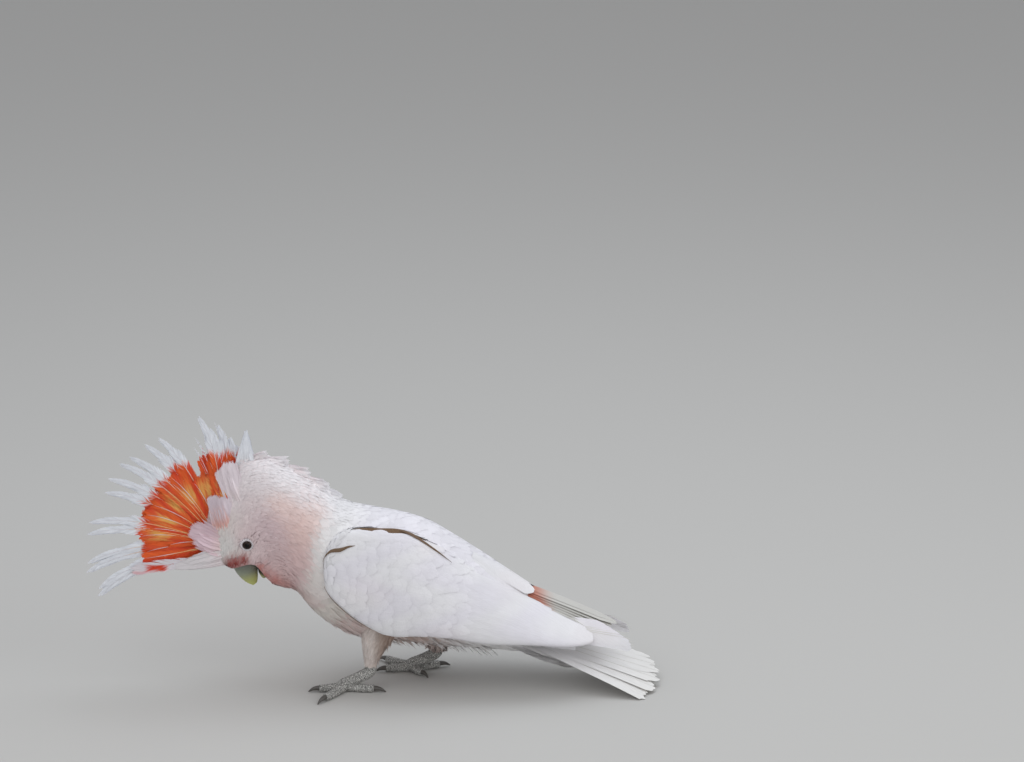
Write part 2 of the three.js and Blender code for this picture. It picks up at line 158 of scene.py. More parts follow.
# Tail: (x, half spread, z) of its root, bend and tip
TAIL_FEATHERS = 12
TAIL_ROOT = [112, 9, 52]
TAIL_BEND = [178, 19, 31]
TAIL_TIP = [251.5, 37, 6.2]
TAIL_WIDTH = 19
TAIL_ROLL = 4  # how much higher the right side is held than the middle
TAIL_ROUNDNESS = 11  # how far the outer feathers end short of the middle ones
TAIL_STEP = 1.6  # how far the outer feathers lie under the middle ones

# Legs: side, x of the ball of the foot, and how far the foot turns out
LEGS = {"left": (-1, -6, 33), "right": (1, 47, 20)}
STANCE = 23  # distance of the feet from the middle plane
BALL_HEIGHT = 6.2
HEEL_BACK = 25  # how far the heel joint lies behind the ball of the foot
HEEL_SIDE = 22
HEEL_HEIGHT = 18
THIGH_COAT = 1.8  # how deep the coat lies over a thigh's skin
SCUTE_HEIGHT = 0.35
SCUTE_STEP = 1.9
MOUTH_MARGIN = 6  # how far ahead of FACE_EDGE the bill still needs room
FLOOR_CLEARANCE = 0.05
THIGH = [  # x from the heel joint, distance from the middle plane, z, radius
    [6, 21, 57, 14],
    [1, 21.5, 46, 12.6],
    [-1.5, 22, 37, 9.8],
    [-3.2, 22, 28.5, 6.8],
    [-4.2, 22, 21, 5.0],
]
TOES = [(-26, 21, 8), (24, 28, 9.5), (140, 24, 9), (-148, 15, 7)]  # angle, length, claw length
TOE_HEIGHT = 3
# Rows of (share of the length, rise, radius) along a toe and a claw
TOE_SHAPE = [[0, 2, 4.2], [0.3, 0.6, 3.7], [0.65, 0, 3.5], [1, 0.1, 2.9]]
CLAW_SHAPE = [[0, 0.3, 2.3], [0.3, 0.5, 2], [0.65, -0.2, 1.4], [1, -2.25, 0.4]]

SIDES = {"left": -1, "right": 1}

# Colours, linear
WHITE = np.array([0.83, 0.82, 0.84])
LILAC_WHITE = np.array([0.80, 0.78, 0.83])
CREAM = np.array([0.80, 0.78, 0.73])
BLUSH = np.array([0.82, 0.67, 0.67])
PINK = np.array([0.80, 0.57, 0.56])
SALMON = np.array([0.82, 0.55, 0.49])
ORANGE = np.array([0.84, 0.125, 0.022])
SCARLET = np.array([0.74, 0.055, 0.02])
GOLD = np.array([0.92, 0.50, 0.13])
STAINED = np.array([0.50, 0.36, 0.30])
CREST_WHITE = np.array([0.85, 0.87, 0.92])
LILAC_PINK = np.array([0.80, 0.61, 0.67])
FRONTAL_RED = np.array([0.34, 0.045, 0.035])
THROAT_RED = np.array([0.55, 0.17, 0.14])
# painted shade for the narrow gaps and folds of the wings
SHADED_BROWN = np.array([0.16, 0.10, 0.06])

# ---- camera

eye_low, eye_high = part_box("eye_left")
SHIFT = np.array((eye_low + eye_high) / 2) * 1000 - EYE * [1, -1, 1]  # design frame to shared frame


def place(points):
    """Design millimetres to metres in the shared frame."""
    return (np.asarray(points, float) + SHIFT) * 0.001


CAMERA_ELEVATION = math.radians(17)
CAMERA_DISTANCE = 3.6
VIEW_CENTRE = [129.6, 0, 256]  # what the middle of the picture looks at
VIEW_WIDTH = 0.8192  # metres across the picture at that distance

camera_data = bpy.data.cameras.new("camera")
camera_data.sensor_width = 36
camera_data.lens = camera_data.sensor_width * CAMERA_DISTANCE / VIEW_WIDTH
camera = bpy.data.objects.new("camera", camera_data)
bpy.context.scene.collection.objects.link(camera)
back = Vector((0, -math.cos(CAMERA_ELEVATION), math.sin(CAMERA_ELEVATION)))
camera.location = Vector(place(VIEW_CENTRE)) + CAMERA_DISTANCE * back
camera.rotation_euler = back.to_track_quat("Z", "Y").to_euler()
bpy.context.scene.camera = camera

# ---- shape helpers


def through(rows, t):
    """Columns of numbers that run smoothly through rows as t goes from 0 to 1 (a cubic through each four)."""
    rows = np.asarray(rows, float)
    last = len(rows) - 1
    at = np.clip(t, 0, 1) * last
    i = np.minimum(np.floor(at).astype(int), last - 1)
    f = (at - i)[..., None]
    a, b, c, d = (rows[np.clip(i + k, 0, last)] for k in (-1, 0, 1, 2))
    start, end = (c - a) / 2, (d - b) / 2
    ends = (2 * f**3 - 3 * f**2 + 1) * b + (3 * f**2 - 2 * f**3) * c
    return ends + (f**3 - 2 * f**2 + f) * start + (f**3 - f**2) * end


def ramp(x, low, high):
    """0 below low, 1 above high, and a smooth step between."""
    t = np.clip((x - low) / (high - low), 0, 1)
    return t * t * (3 - 2 * t)


def mix(a, b, share):
    """a at share 0, b at share 1; share gains an axis for colours and points."""
    share = np.asarray(share)[..., None]
    return a * (1 - share) + b * share


def unit(vectors):
    return vectors / np.maximum(np.linalg.norm(vectors, axis=-1, keepdims=True), 1e-9)


def points(*parts):
    """Coordinates stacked as points, each part broadcast to the same shape."""
    return np.stack(np.broadcast_arrays(*parts), axis=-1).astype(float)


def slopes(surface, u, v, step=2e-3):
    """How a surface's point moves with u and with v, by central differences kept inside 0..1 of u."""
    u0, u1 = np.clip(u - step, 0, 1), np.clip(u + step, 0, 1)
    along_u = (surface(u1, v) - surface(u0, v)) / (u1 - u0)[..., None]
    along_v = (surface(u, v + step) - surface(u, v - step)) / (2 * step)
    return along_u, along_v


def lifted(surface, u, v, height):
    """Points at a height over a surface, along its outward normal, the cross of its two slopes."""
    along_u, along_v = slopes(surface, u, v)
    return surface(u, v) + unit(np.cross(along_u, along_v)) * np.asarray(height)[..., None]


def between(a, b, cos):
    """From a at cos 1 to b at cos -1: a section's coordinate between its two ends."""
    return (a + b) / 2 + (a - b) / 2 * cos


def once_round(rows, columns, low=0, high=1, side=1):
    """A grid of u from low to high by v once round; side -1 turns the other way."""
    return np.meshgrid(np.linspace(low, high, rows), np.linspace(0, 2 * math.pi * side, columns, endpoint=False),
                       indexing="ij")


def capped(values):
    """A tube's values with those of its first and last ring repeated, for the rings that close its ends."""
    return np.concatenate([values[:1], values, values[-1:]])


# ---- surfaces


def body(u, v):
    """The plumage's outer form. u runs from face to tail base; v is the angle round a section from its
    upper end, towards the bird's right. A section is an ellipse between its two ends, widened below."""
    top_x, top_z, low_x, low_z, half_width, wider = np.moveaxis(through(SECTIONS, u), -1, 0)
    cos = np.cos(v)
    return points(between(top_x, low_x, cos), half_width * np.sin(v) * (1 - wider * cos), between(top_z, low_z, cos))


def face_level(p):
    """Height of the lower edge of the face at a point's x, and whether the point is at the mouth."""
    edge_x, edge_z = np.array(FACE_EDGE).T
    at_mouth = (p[..., 0] > edge_x[0] - MOUTH_MARGIN) & (p[..., 0] < edge_x[-1])
    return np.interp(p[..., 0], edge_x, edge_z), at_mouth


def above_face_edge(p):
    """Points under the lower edge of the face moved straight up to it, which leaves room for the bill."""
    level, at_mouth = face_level(p)
    return points(p[..., 0], p[..., 1], np.where(at_mouth, np.maximum(p[..., 2], level), p[..., 2]))


def wing(side):
    """A folded wing. u runs from the bend of the wing to the end of its secondaries, v from the upper edge (0)
    over the outer face to the lower edge (pi for the right wing, -pi for the left), and back along the inner
    face. A section is an ellipse between the two edges that bulges by the sine of v."""
    rows = np.array(WING_ROWS, float)
    rows[:, 2] += WING_LIFT[side]
    if side < 0:
        rows[:, 1] -= 0.9 * np.array(WING_LIFT[side])

    def surface(u, v):
        top_x, top_y, top_z, low_x, low_y, low_z, bulge = np.moveaxis(through(rows, u), -1, 0)
        cos = np.cos(v)
        y = side * between(top_y, low_y, cos) + bulge * np.sin(v)
        return points(between(top_x, low_x, cos), y, between(top_z, low_z, cos))

    return surface


def limb(rows):
    """A round limb through rows of centre x, y, z and radius. u runs along it and v round it."""

    def surface(u, v):
        x, y, z, radius = np.moveaxis(through(rows, u), -1, 0)
        step = 0.02
        before, after = (through(rows, np.clip(u + sign * step, 0, 1))[..., :3] for sign in (-1, 1))
        along = unit(after - before)
        across = unit(np.cross(along, [0.0, 1.0, 0.3]))
        over = np.cross(across, along)
        ring = across * np.cos(v)[..., None] + over * np.sin(v)[..., None]
        return points(x, y, z) + ring * radius[..., None]

    return surface


# ---- mesh making


def make_mesh(name, vertices, faces, material, nodes, tint=None, uvs=None, closed=False):
    """A finished piece from arrays: vertices in design millimetres, faces as rows of corner numbers. The poles
    of a closed piece are joined, and its faces turned outwards."""
    mesh = bpy.data.meshes.new(name)
    vertices = place(vertices).reshape(-1, 3)
    faces = np.asarray(faces)
    mesh.vertices.add(len(vertices))
    mesh.vertices.foreach_set("co", vertices.astype(np.float32).ravel())
    corners = faces.shape[1]
    mesh.loops.add(faces.size)
    mesh.loops.foreach_set("vertex_index", faces.astype(np.int32).ravel())
    mesh.polygons.add(len(faces))
    mesh.polygons.foreach_set("loop_start", np.arange(0, faces.size, corners, dtype=np.int32))
    mesh.update(calc_edges=True)
    mesh.validate()
    mesh.polygons.foreach_set("use_smooth", np.full(len(mesh.polygons), True))
    if tint is not None:
        colour = np.concatenate([np.clip(tint, 0, 1).reshape(-1, 3), np.ones((len(vertices), 1))], axis=1)
        attribute = mesh.attributes.new("tint", "FLOAT_COLOR", "POINT")
        attribute.data.foreach_set("color", colour.astype(np.float32).ravel())
    loop_vertex = np.zeros(len(mesh.loops), np.int32)
    mesh.loops.foreach_get("vertex_index", loop_vertex)
    for layer, coordinates in (uvs or {}).items():
        uv = mesh.uv_layers.new(name=layer)
        uv.data.foreach_set("uv", coordinates.reshape(-1, 2)[loop_vertex].astype(np.float32).ravel())
    if closed:
        shell = bmesh.new()
        shell.from_mesh(mesh)
        bmesh.ops.remove_doubles(shell, verts=shell.verts, dist=2e-6)
        bmesh.ops.recalc_face_normals(shell, faces=shell.faces)
        shell.to_mesh(mesh)
        shell.free()
    mesh.materials.append(material)
    piece = bpy.data.objects.new(name, mesh)
    bpy.context.scene.collection.objects.link(piece)
    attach(piece, "root")
    if nodes:
        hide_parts(*nodes)


def sheet_faces(count, rows, columns, wrap=False):
    """Four-cornered faces of count separate grids of rows by columns points; wrap joins the last column to
    the first."""
    i, j = np.meshgrid(np.arange(rows - 1), np.arange(columns if wrap else columns - 1), indexing="ij")
    ahead = (j + 1) % columns
    cell = np.stack([i * columns + j, (i + 1) * columns + j, (i + 1) * columns + ahead, i * columns + ahead], -1)
    return (cell.reshape(1, -1, 4) + (np.arange(count) * rows * columns)[:, None, None]).reshape(-1, 4)


def tube_part(grid, tint):
    """A tube's rings as one part of a mesh."""
    return grid, sheet_faces(1, *grid.shape[:2], wrap=True), tint


def make_tube(name, grid, material, nodes, tint, closed=True):
    """A piece that is a single tube."""
    vertices, faces, tint = tube_part(grid, tint)
    make_mesh(name, vertices, faces, material, nodes, tint, closed=closed)


def merged(parts):
    """Several (vertices, faces, tint, uv...) batches as one, with the face numbers moved up."""
    starts = np.cumsum([0] + [part[0].reshape(-1, 3).shape[0] for part in parts[:-1]])
    vertices = np.concatenate([part[0].reshape(-1, 3) for part in parts])
    faces = np.concatenate([part[1] + start for part, start in zip(parts, starts)])
    rest = [np.concatenate([part[k].reshape(-1, part[k].shape[-1]) for part in parts])
            for k in range(2, len(parts[0]))]
    return vertices, faces, *rest


def make_feathers(name, parts, material, nodes):
    """A piece from feather batches of (points, faces, tint, vane, bake)."""
    vertices, faces, tint, vane, bake = merged(parts)
    make_mesh(name, vertices, faces, material, nodes, tint, {"vane": vane, "OFBake": bake})


def closed_ends(grid):
    """A tube's rings with one point-like ring added at the middle of each end, so that it has no hole."""
    first, last = (np.broadcast_to(ring.mean(0), ring.shape)[None] for ring in (grid[0], grid[-1]))
    return np.concatenate([first, grid, last])


# ---- feathers


def lay_feathers(surface, u, v, length, width, *, depth, lift, rows, columns, ragged, round_tip=0.3,
                 root_width=0.45, curl=0.0, power=1.6):
    """Feathers that lie on a surface, one for each root (u, v). A feather is a small grid: s runs from its root
    to its tip and c across it from -1 to 1. Its outline is a half width that grows from root_width to full at
    mid length, and a tip where column c ends at 1 - round_tip * c^2, less a random part of ragged. Its height
    over the surface rises from -depth at the root to lift at the tip, and curl bends its edges down.
    Returns the points, s and c."""
    count = len(u)
    along_u, along_v = slopes(surface, u, v)
    speed = np.maximum(np.linalg.norm(along_u, axis=-1), 1e-6)
    heading = along_u / speed[:, None]
    slant = np.einsum("ni,ni->n", along_v, heading)
    square_on = np.maximum(np.linalg.norm(along_v - heading * slant[:, None], axis=-1), 1e-6)
    # where the surface widens ahead of a root, its wider measure holds for the whole feather
    end_u = np.clip(u + length / speed, 0, 1)
    run = np.linalg.norm(surface(end_u, v) - surface(u, v), axis=-1)
    speed = np.maximum(speed, run / np.maximum(end_u - u, 1e-6))
    middle_u = np.clip(u + length / speed / 2, 0, 1)
    square_on = np.maximum(square_on, 0.9 * np.linalg.norm(slopes(surface, middle_u, v)[1], axis=-1))

    c = np.linspace(-1, 1, columns)[None, None, :]
    t = np.linspace(0, 1, rows)[None, :, None]
    teeth = ragged * rng.random((count, 1, columns))
    column_end = np.maximum(1 - round_tip * c**2 - teeth, 0.15)
    s = t * column_end
    half = width[:, None, None] / 2 * (root_width + (1 - root_width) * ramp(s, 0, 0.5))
    turn = rng.normal(0, 0.06, (count, 1, 1))
    forward = s * length[:, None, None]
    sideways = c * half
    ahead = forward * np.cos(turn) - sideways * np.sin(turn)
    aside = forward * np.sin(turn) + sideways * np.cos(turn)
    delta_v = aside / square_on[:, None, None]
    delta_u = (ahead - slant[:, None, None] * delta_v) / speed[:, None, None]
    depth, lift, curl = (np.broadcast_to(x, (count,))[:, None, None] for x in (depth, lift, curl))
    height = -depth * (1 - s) + lift * s**power - curl * c**2 * s + rng.normal(0, 0.05, (count, 1, 1))
    at_u = np.clip(u[:, None, None] + delta_u, 0.0, 1.0)
    at_v = v[:, None, None] + delta_v
    return lifted(surface, at_u, at_v, height), s * np.ones_like(c), c * np.ones_like(s)


def staggered_roots(surface, u_range, v_range, spacing, jitter=0.24):
    """Roots in staggered rows over part of a surface. spacing(u) gives the step along and the step across.
    Rows follow the surface's middle line, and a row thins out where neighbouring rows close up."""
    fine_u = np.linspace(*u_range, 400)
    middle = np.full_like(fine_u, v_range[0] * 0.6 + v_range[1] * 0.4)
    top = surface(fine_u, np.full_like(fine_u, v_range[0]))
    run = np.maximum(np.linalg.norm(np.diff(surface(fine_u, middle), axis=0), axis=1),
                     np.linalg.norm(np.diff(top, axis=0), axis=1))
    rows_passed = np.concatenate([[0], np.cumsum(run / spacing(fine_u[1:])[0])])
    found = []
    for k in range(int(rows_passed[-1])):
        row_u = np.interp(k + 0.5, rows_passed, fine_u)
        along, across = spacing(np.array([row_u]))
        fine_v = np.linspace(*v_range, 240)
        ring = surface(np.full_like(fine_v, row_u), fine_v)
        passed = np.concatenate([[0], np.cumsum(np.linalg.norm(np.diff(ring, axis=0), axis=1))])
        number = max(int(passed[-1] / across[0]), 1)
        stations = (np.arange(number) + 0.5 * (k % 2) + rng.uniform(-jitter, jitter, number)) * passed[-1] / number
        row_v = np.interp(stations, passed, fine_v)
        u_here = np.full(number, row_u)
        next_u = np.interp(k + 1.5, rows_passed, fine_u)
        step = np.linalg.norm(surface(np.full(number, next_u), row_v) - surface(u_here, row_v), axis=1)
        kept = rng.random(number) < step / along[0]
        moved = rng.uniform(-jitter, jitter, number) * (next_u - row_u)
        found.append(np.stack([u_here + moved, row_v], axis=1)[kept])
    return np.concatenate(found).T


BAKE_PATCH = 0.003  # a feather's size in bake coordinates


def tuft_uv(u, v, s, c):
    """Bake coordinates: each feather is a small patch at its root's place on the surface's own u and v."""
    across = np.clip(u, 0, 1)[:, None, None] * 0.98 + 0.01 + BAKE_PATCH * (s - 0.5)
    along = (v[:, None, None] % (2 * math.pi)) / (2 * math.pi) * 0.98 + 0.01 + BAKE_PATCH * c / 2
    return np.stack([across, along], axis=-1)


PATCHES = [  # x, z, reach, colour: soft areas of the head, neck and breast
    (-84, 126, 12, BLUSH),
    (-68, 140, 14, PINK * [0.87, 0.93, 0.99]),
    (-58, 118, 15, PINK * [0.87, 0.91, 0.94]),
    (-50, 142, 12, SALMON * [0.90, 0.96, 0.99]),
    (-36, 158, 9, SALMON * [1.0, 1.12, 1.16]),
    (-49, 122, 11, SALMON * [0.88, 0.90, 0.95]),
    (-60, 160, 12, SALMON * [1.0, 1.14, 1.2]),
    (-54, 104, 10, PINK * [0.95, 0.92, 0.92]),
    (-42, 172, 10, mix(WHITE, BLUSH, 0.5)),
    (-58, 184, 12, mix(WHITE, BLUSH, 0.25)),
    (-80, 176, 13, mix(WHITE, PINK, 0.3)),
    (-86, 152, 11, mix(WHITE, PINK, 0.5)),
    (-100, 158, 10, mix(WHITE, BLUSH, 0.4)),
    (-102, 140, 10, mix(CREAM, BLUSH, 0.5)),
    (-110, 128, 9, mix(CREAM, BLUSH, 0.35)),
    (-102, 118, 10, mix(CREAM, WHITE, 0.4)),
    (-93, 112, 6, mix(CREAM, BLUSH, 0.5)),
    (-20, 168, 13, WHITE),
    (-16, 142, 14, mix(WHITE, CREAM, 0.3)),
    (-26, 124, 11, mix(WHITE, CREAM, 0.5)),
    (-32, 108, 9, mix(CREAM, BLUSH, 0.2)),
    (-12, 110, 14, WHITE),
    (-36, 94, 8, mix(CREAM, BLUSH, 0.4)),
    (-38, 84, 6, mix(STAINED, BLUSH, 0.45)),
    (-22, 76, 10, mix(CREAM, STAINED, 0.3)),
    (-6, 58, 12, mix(STAINED, BLUSH, 0.5)),
    (14, 48, 13, mix(STAINED, WHITE, 0.45)),
    (40, 42, 12, mix(STAINED, BLUSH, 0.15)),
    (66, 38, 13, mix(STAINED, WHITE, 0.6)),
    (94, 36, 20, mix(CREAM, WHITE, 0.6)),
    (30, 145, 30, LILAC_WHITE),
    (80, 120, 30, LILAC_WHITE),
    (130, 80, 35, WHITE),
    (160, 40, 25, WHITE),
]
STAINS = [  # x, z, reach, colour, strength: small areas laid over the others
    (-98, 104, 4.6, FRONTAL_RED, 1.0),
    (-93, 106.5, 4.8, FRONTAL_RED, 1.0),
    (-86.5, 109.5, 4.2, FRONTAL_RED, 1.0),
    (-74, 105, 3.6, THROAT_RED, 0.8),
    (-70, 98, 4.5, THROAT_RED, 0.85),
    (-64, 91, 5.5, THROAT_RED, 0.8),
    (-56, 87, 6, THROAT_RED, 0.6),
    (-48, 88, 6, THROAT_RED, 0.3),
]


def bell(p, x, z, reach):
    """1 at (x, z), falling off smoothly with the distance seen from the side."""
    return np.exp(-(np.hypot(p[..., 0] - x, p[..., 2] - z) / reach) ** 2)


def plumage_colour(p):
    """The markings of skin and coat alike: the soft areas above, each weighted by the bell of its distance,
    with the stains laid over them."""
    total = np.zeros(p.shape[:-1] + (3,))
    weights = np.full(p.shape[:-1], 1e-9)
    for x, z, reach, colour in PATCHES:
        weight = bell(p, x, z, reach)
        total += weight[..., None] * colour
        weights += weight
    far = 1e-4
    colour = (total + far * WHITE) / (weights + far)[..., None]
    for x, z, reach, stain, strength in STAINS:
        colour = mix(colour, stain, strength * bell(p, x, z, reach))
    return colour


def varied(colour, count, amount=0.035):
    """Each feather's colour a little lighter or darker than the next one's."""
    return colour * (1 + rng.normal(0, amount, (count, 1, 1, 1)))


# ---- materials


class Signal:
    """A number socket with arithmetic: each operator adds one Math node."""

    def __init__(self, finish, socket):
        self.finish = finish
        self.socket = socket

    def math(self, operation, *others):
        values = {k: other for k, other in enumerate((self, *others))}
        return self.finish.node("ShaderNodeMath", {"operation": operation}, values).out()

    def __add__(self, other):
        return self.math("ADD", other)

    def __sub__(self, other):
        return self.math("SUBTRACT", other)

    def __mul__(self, other):
        return self.math("MULTIPLY", other)

    def __rsub__(self, other):
        return self.finish.node("ShaderNodeMath", {"operation": "SUBTRACT"}, {0: other, 1: self}).out()

    __radd__ = __add__
    __rmul__ = __mul__


class Node:
    """One shader node; out() gives an output as a Signal."""

    def __init__(self, finish, node):
        self.finish = finish
        self.node = node

    def out(self, name=0):
        return Signal(self.finish, self.node.outputs[name])


class Finish:
    """A Principled material. node() adds any node: its type, its settings, then its sockets' values or links."""

    def __init__(self, name, **constants):
        self.material = bpy.data.materials.new(name)
        self.material.use_nodes = True
        self.tree = self.material.node_tree
        self.surface = self.tree.nodes["Principled BSDF"]
        self.set(self.surface, constants)

    def set(self, node, values):
        for key, value in values.items():
            socket = node.inputs[key.replace("_", " ") if isinstance(key, str) else key]
            if isinstance(value, Signal):
                self.tree.links.new(value.socket, socket)
            elif socket.type == "RGBA":
                socket.default_value = (*value, 1)
            else:
                socket.default_value = value

    def node(self, kind, settings=None, values=None):
        node = self.tree.nodes.new(kind)
        for key, value in (settings or {}).items():
            setattr(node, key, value)
        self.set(node, values or {})
        return Node(self, node)

    def spot(self):
        """The place on the object."""
        return self.node("ShaderNodeTexCoord").out("Object")

    def noise(self, spot, scale, detail):
        return self.node("ShaderNodeTexNoise", values={"Vector": spot, "Scale": scale, "Detail": detail}).out("Fac")

    def vector(self, kind, *parts):
        """Three numbers joined into a vector or a colour."""
        return self.node(f"ShaderNodeCombine{kind}", values=dict(enumerate(parts))).out()

    def tint(self):
        """The colour that the mesh stores at each point."""
        return self.node("ShaderNodeAttribute", {"attribute_name": "tint"}).out("Color")

    def tinted(self, level):
        """The stored colour times a grey level."""
        node = self.node("ShaderNodeMix", {"data_type": "RGBA", "blend_type": "MULTIPLY"},
                         {"Factor": 1.0, 6: self.tint(), 7: self.vector("Color", level, level, level)})
        return node.out(2)

    def relief(self, height, strength, distance):
        """Fine relief; distance is in metres."""
        return self.node("ShaderNodeBump", values={"Height": height, "Strength": strength, "Distance": distance}).out()

    def finish(self, **links):
        self.set(self.surface, links)
        return self.material


def plumage_finish(name, barb_contrast, bump, roughness=0.62):
    """Feather vanes: the tint attribute, streaked by barbs that slant away from the shaft. The layer "vane"
    holds across (-1 to 1, as 0 to 1) and along, in feather widths."""
    f = Finish(name, Roughness=roughness, Sheen_Weight=0.25, Sheen_Roughness=0.5, Specular_IOR_Level=0.25)
    vane = f.node("ShaderNodeUVMap", {"uv_map": "vane"}).out()
    parts = f.node("ShaderNodeSeparateXYZ", values={0: vane})
    across, along = parts.out("X"), parts.out("Y")
    off_shaft = (across - 0.5).math("ABSOLUTE")
    slanted = along - off_shaft * 0.9
    barbs = f.noise(f.vector("XYZ", slanted * 34, across * 3, along * 0.7), 1.0, 3.0)
    shaft = (1 - off_shaft * 16).math("MAXIMUM", 0)
    level = 1 + (barbs - 0.5) * barb_contrast + (f.noise(f.spot(), 90.0, 2.0) - 0.5) * 0.10
    return f.finish(Base_Color=f.tinted(level), Normal=f.relief(barbs + shaft * 0.4, bump, 0.0003))


def horn_finish(name, roughness):
    """Horn: the tint attribute with fine growth lines, small pits and a worn, uneven sheen."""
    f = Finish(name, Coat_Weight=0.12, Coat_Roughness=0.3, Specular_IOR_Level=0.5)
    spot = f.spot()
    stretched = f.node("ShaderNodeMapping", values={"Vector": spot, "Scale": (260, 900, 1500)}).out()
    lines = f.noise(stretched, 1.0, 4.0)
    blotches = f.noise(spot, 240.0, 4.0)
    level = 1 + (lines - 0.5) * 0.22 + (blotches - 0.5) * 0.30
    return f.finish(Base_Color=f.tinted(level), Roughness=roughness + (blotches - 0.5) * 0.3,
                    Normal=f.relief(lines * 0.6 + blotches * 0.5, 0.35, 0.0003))


def scale_finish(name):
    """Scaly foot skin: pebbles with dark creases, dusty highlights on the crowns."""
    f = Finish(name, Specular_IOR_Level=0.3)
    spot = f.spot()
    cells = f.node("ShaderNodeTexVoronoi", {"feature": "DISTANCE_TO_EDGE"}, {"Vector": spot, "Scale": 800.0})
    crease = (cells.out("Distance") * 3.2).math("MINIMUM", 1)
    dust = f.noise(spot, 420.0, 5.0)
    level = 0.22 + crease * 0.95 + (dust - 0.5) * 0.7
    return f.finish(Base_Color=f.tinted(level), Roughness=0.6 + dust * 0.3,
                    Normal=f.relief(crease + dust * 0.3, 0.6, 0.0004))


def skin_finish(name):
    """Down-covered skin under the feathers: the tint with a soft mottle."""
    f = Finish(name, Roughness=0.8, Specular_IOR_Level=0.2)
    mottle = f.noise(f.spot(), 500.0, 4.0)
    return f.finish(Base_Color=f.tinted(0.88 + (mottle - 0.5) * 0.4), Normal=f.relief(mottle, 0.5, 0.0005))


def eye_finish(name):
    """A dark brown eye with a wet surface."""
    f = Finish(name, Roughness=0.06, Specular_IOR_Level=0.22)
    return f.finish(Base_Color=f.tint())


SOFT = plumage_finish("plumage_soft", barb_contrast=0.16, bump=0.25)
QUILL = plumage_finish("plumage_quill", barb_contrast=0.20, bump=0.35, roughness=0.5)
CREST = plumage_finish("plumage_crest", barb_contrast=0.25, bump=0.3, roughness=0.55)
HORN = horn_finish("bill_horn", 0.42)
CLAW = horn_finish("claw_horn", 0.38)
SCALES = scale_finish("foot_scales")
SKIN = skin_finish("down_skin")
EYE_GLOSS = eye_finish("eye_gloss")

# ---- skin


def coat_depth(u):
    """How deep the coat lies over the skin: thin on the face, deep on neck and body."""
    return 0.7 + 0.9 * ramp(u, 0.12, 0.45)


def thigh_rows(side, x):
    heel_x = x + HEEL_BACK
    return [[heel_x + dx, side * dy, z, radius] for dx, dy, z, radius in THIGH]


def skin_grid(surface, rows, columns, inset):
    """A closed tube on a surface, inside it by inset(u)."""
    u, v = once_round(rows, columns)
    return closed_ends(lifted(surface, u, v, -inset(u)))


def make_skin():
    """One mesh for the flesh of head, neck, trunk and both thighs."""
    grids = [above_face_edge(skin_grid(body, 150, 80, coat_depth))]
    for side, x, _ in LEGS.values():
        grids.append(skin_grid(limb(thigh_rows(side, x)), 24, 28, lambda u: THIGH_COAT + 0 * u))
    vertices, faces, tint = merged([tube_part(grid, plumage_colour(grid)) for grid in grids])
    make_mesh("skin", vertices, faces, SKIN, ["head", "neck", "trunk", "thigh_left", "thigh_right"],
              tint, closed=True)


# ---- body coat


def coat_piece(name, batches, material=SOFT, nodes=()):
    """One coat piece from batches of (points, s, c, tint, root u, root v)."""
    parts = []
    for grid, s, c, tint, u, v in batches:
        count, rows, columns = grid.shape[:3]
        vane = np.stack([(c + 1) / 2, s * 2.2 + rng.random((count, 1, 1)) * 9], axis=-1)
        parts.append((grid, sheet_faces(count, rows, columns), tint, vane, tuft_uv(u, v, s, c)))
    make_feathers(name, parts, material, nodes)


def feather_tint(root, s, tip_white, painted_root_shade=0.1):
    """A feather's colour: that of the plumage where it is rooted, with painted shade at its root, and paling at its
    tip.
    """
    base = plumage_colour(root)[:, None, None, :]
    # painted shade: each feather darker towards its root, where the feather over it shades it
    shade = 1 - painted_root_shade * (1 - ramp(s, 0, 0.7))[..., None]
    tip = (np.asarray(tip_white)[:, None, None] * ramp(s, 0.45, 0.95))[..., None]
    return varied((base * (1 - tip) + WHITE * tip) * shade, len(root))


def beside(p, centre):
    """A centre given as (x, distance from the middle plane, z), on the same side of the bird as each point."""
    return points(centre[0], np.where(p[..., 1] < 0, -1, 1) * centre[1], centre[2])


def under_wing(p):
    """Whether a body point is well covered by a folded wing, where no feathers are needed."""
    x, y, z = np.moveaxis(p, -1, 0)
    rows = np.array(WING_ROWS)
    top, low = (np.interp(x, rows[:, [0, 3]].mean(1), rows[:, column]) for column in (2, 5))
    between_edges = (z < top - WING_OVERLAP) & (z > low + WING_OVERLAP)
    return (np.abs(y) > COVERED_SIDE) & between_edges & (x > COVERED_FROM) & (x < COVERED_TO)


def body_batch(u_range, spacing, length, width, rows, columns, ragged, lift, tip_white, depth, **shape):
    """Feathers over all sides of the body between two places along it. spacing is a function of u; length,
    width, lift, tip_white and depth are functions of u and v."""
    u, v = staggered_roots(body, u_range, (0, 2 * math.pi), spacing)
    root = body(u, v)
    level, at_mouth = face_level(root)
    from_eye = np.linalg.norm(root - beside(root, EYE_SURFACE), axis=1)
    kept = ~(at_mouth & (root[:, 2] < level + 0.4)) & (from_eye > EYE_RING + 0.3) & ~under_wing(root)
    u, v, root, level, from_eye = u[kept], v[kept], root[kept], level[kept], from_eye[kept]
    near_face = np.where(root[:, 0] < -62, 0.4 + 0.6 * ramp(root[:, 2] - level, 0, 10), 1)
    near_eye = 0.35 + 0.65 * ramp(from_eye, EYE_RING, EYE_RING + 10)
    size = near_face * near_eye * rng.uniform(0.85, 1.15, len(u))
    grid, s, c = lay_feathers(
        body, u, v, length(u, v) * size, width(u, v) * np.sqrt(size), depth=depth(u, v) * size,
        lift=lift(u, v) * size, rows=rows, columns=columns, ragged=ragged, **shape)
    return grid, s, c, feather_tint(root, s, tip_white(u, v)), u, v


